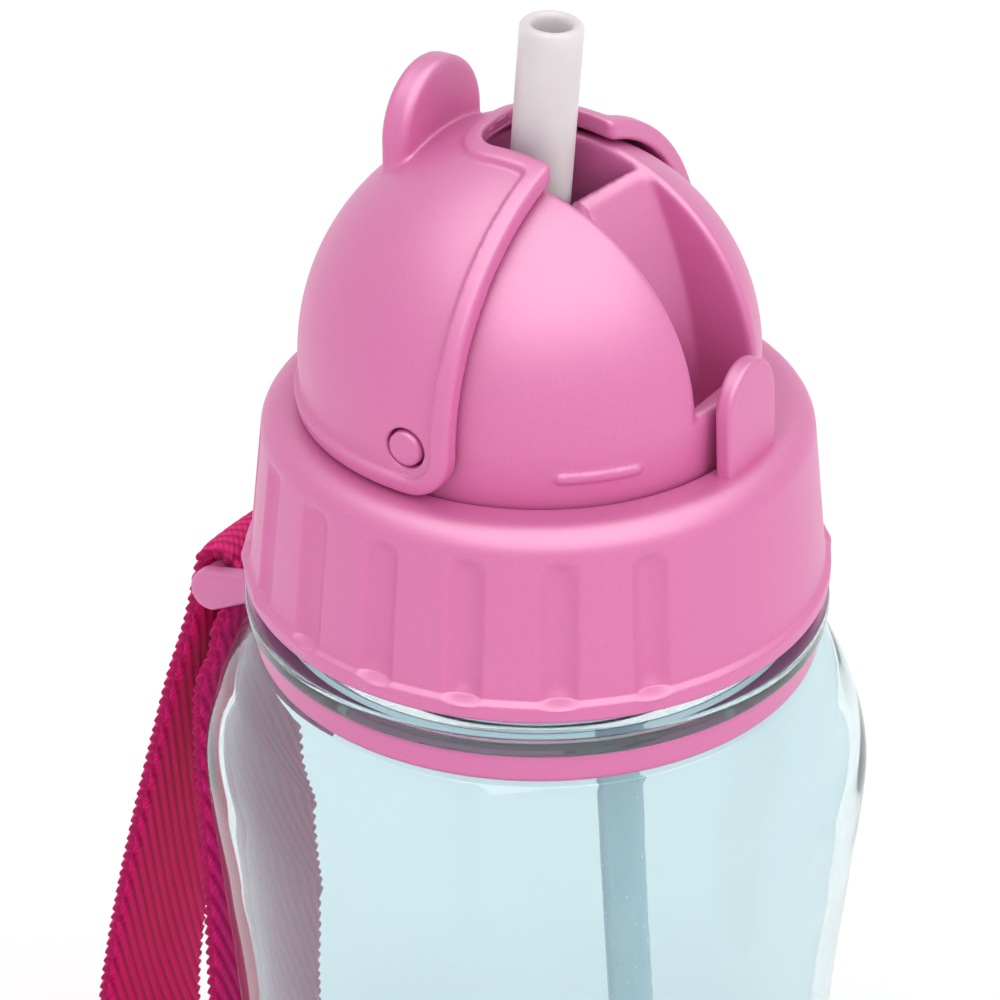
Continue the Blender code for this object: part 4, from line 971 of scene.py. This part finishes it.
def carryStrap():
    w = webbing
    line, length = smoothLoop(webbingRoute(), w["step"])
    count = len(line)
    along = np.roll(line, -1, 0) - np.roll(line, 1, 0)
    along /= np.linalg.norm(along, axis=1)[:, None]
    outward = np.stack([-along[:, 1], along[:, 0]], axis=1)
    columns = w["across"]
    widths = np.linspace(-1, 1, columns + 1)
    travel = np.arange(count) * length / count
    ribPitch = w["width"] / w["ribs"]
    drift = round(length * weave["ribSlant"] / ribPitch) / length
    edgeLaps = round(length / w["selvagePitch"])
    points, marks = [], []
    sides = [(1, k) for k in range(columns + 1)] + [(-1, k) for k in range(columns, -1, -1)]
    for face, k in sides:
        x = widths[k] * w["width"] / 2
        slant = face * x / ribPitch + travel * drift
        rib = np.abs((slant % 1.0) - 0.5) * 2
        rib = rib * rib * (3 - 2 * rib)
        edge = max(0.0, (abs(widths[k]) - w["selvageFrom"]) / (1 - w["selvageFrom"]))
        bead = np.abs(np.cos(np.pi * edgeLaps * travel / length + (0 if x > 0 else 1.2))) * 2 - 1.2
        thick = w["thick"] / 2 * (1 - w["selvageThin"] * edge**2)
        thick = thick + w["ribHeight"] * (rib - 0.5) * (1 - edge) + w["selvageBump"] * edge * bead
        crown = w["crown"] * math.sin(math.pi * (1 - abs(widths[k])))
        push = face * (thick + crown)
        spread = x + np.sign(x) * edge * w["selvage"] * bead * 0.5
        y = line[:, 0] + outward[:, 0] * push
        z = line[:, 1] + outward[:, 1] * push
        points.append(np.stack([np.broadcast_to(spread, y.shape), y, z], axis=1))
        marks.append((face * x, travel))
    rows = len(sides)
    grid = np.stack(points, axis=1).reshape(-1, 3)
    faces, corners = [], []
    for i in range(count):
        j = (i + 1) % count
        for k in range(rows):
            m = (k + 1) % rows
            faces.append((i * rows + k, i * rows + m, j * rows + m, j * rows + k))
            ahead = travel[i] + length / count
            a, b = marks[k][0], marks[m][0]
            corners += [(a, travel[i]), (b, travel[i]), (b, ahead), (a, ahead)]
    mesh = bpy.data.meshes.new("carryStrap")
    mesh.from_pydata([tuple(p) for p in grid * mm], [], faces)
    layer = mesh.uv_layers.new(name="strip")
    layer.data.foreach_set("uv", np.array(corners, np.float32).ravel())
    mesh.shade_smooth()
    piece = bpy.data.objects.new("carryStrap", mesh)
    bpy.context.scene.collection.objects.link(piece)
    mesh.materials.append(magentaWebbing)
    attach(piece, "strap")
    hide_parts("strap_webbing")
    print("strap length", round(length, 1), "mm")
    return piece


carryStrap()


# Camera, floor and light

shot = {
    "place": (-0.2610, -0.1617, 0.3107), "turn": (59.454, 0.0, -57.483), "lens": 122.3, "sensor": 36.0,
    "floorHalf": 3.0, "room": 1.0, "target": (0, 0, 0.12),
    # name, place, size, power, lights surfaces, shows in gloss
    "lamps": [("overheadSoftbox", (-0.15, -0.2, 1.0), 1.6, 38.0, False, True),
              ("frontSoftbox", (-0.1, -0.95, 0.5), 0.8, 2.8, True, False),
              ("leftSoftbox", (-0.9, 0.1, 0.55), 0.8, 1.4, True, False)],
}


def studio():
    scene = bpy.context.scene
    camera = bpy.data.objects.new("camera", bpy.data.cameras.new("camera"))
    camera.location = shot["place"]
    camera.rotation_euler = [math.radians(a) for a in shot["turn"]]
    camera.data.lens = shot["lens"]
    camera.data.sensor_width = shot["sensor"]
    camera.data.clip_start = 0.01
    scene.collection.objects.link(camera)
    scene.camera = camera
    scene.view_settings.view_transform = "Standard"

    floorMesh = bpy.data.meshes.new("studioFloor")
    half = shot["floorHalf"]
    corners = [(-half, -half, 0), (half, -half, 0), (half, half, 0), (-half, half, 0)]
    floorMesh.from_pydata(corners, [], [(0, 1, 2, 3)])
    floor = bpy.data.objects.new("studioFloor", floorMesh)
    scene.collection.objects.link(floor)
    paper, tree, shader = newMaterial("palePaper")
    tone = ranged(tree, objectNoise(tree, 6.0, 3.0), 0.3, 0.7, 0.93, 0.95)
    grey = addNode(tree, "ShaderNodeCombineColor", {0: tone, 1: tone, 2: tone}).outputs[0]
    tree.links.new(grey, shader["Base Color"])
    shader["Roughness"].default_value = 0.9
    floorMesh.materials.append(paper)

    world = bpy.data.worlds.new("softRoom")
    scene.world = world
    world.use_nodes = True
    world.node_tree.nodes["Background"].inputs["Color"].default_value = (1.0, 1.0, 1.0, 1)
    world.node_tree.nodes["Background"].inputs["Strength"].default_value = shot["room"]
    for name, place, size, power, diffuse, glossy in shot["lamps"]:
        light = bpy.data.lights.new(name, "AREA")
        light.shape = "SQUARE"
        light.size = size
        light.energy = power
        lamp = bpy.data.objects.new(name, light)
        lamp.location = place
        lamp.rotation_euler = (Vector(shot["target"]) - Vector(place)).to_track_quat("-Z", "Y").to_euler()
        lamp.visible_diffuse = diffuse
        lamp.visible_glossy = glossy
        lamp.visible_transmission = False
        scene.collection.objects.link(lamp)


studio()
print("studio ready")

bpy.context.view_layer.update()
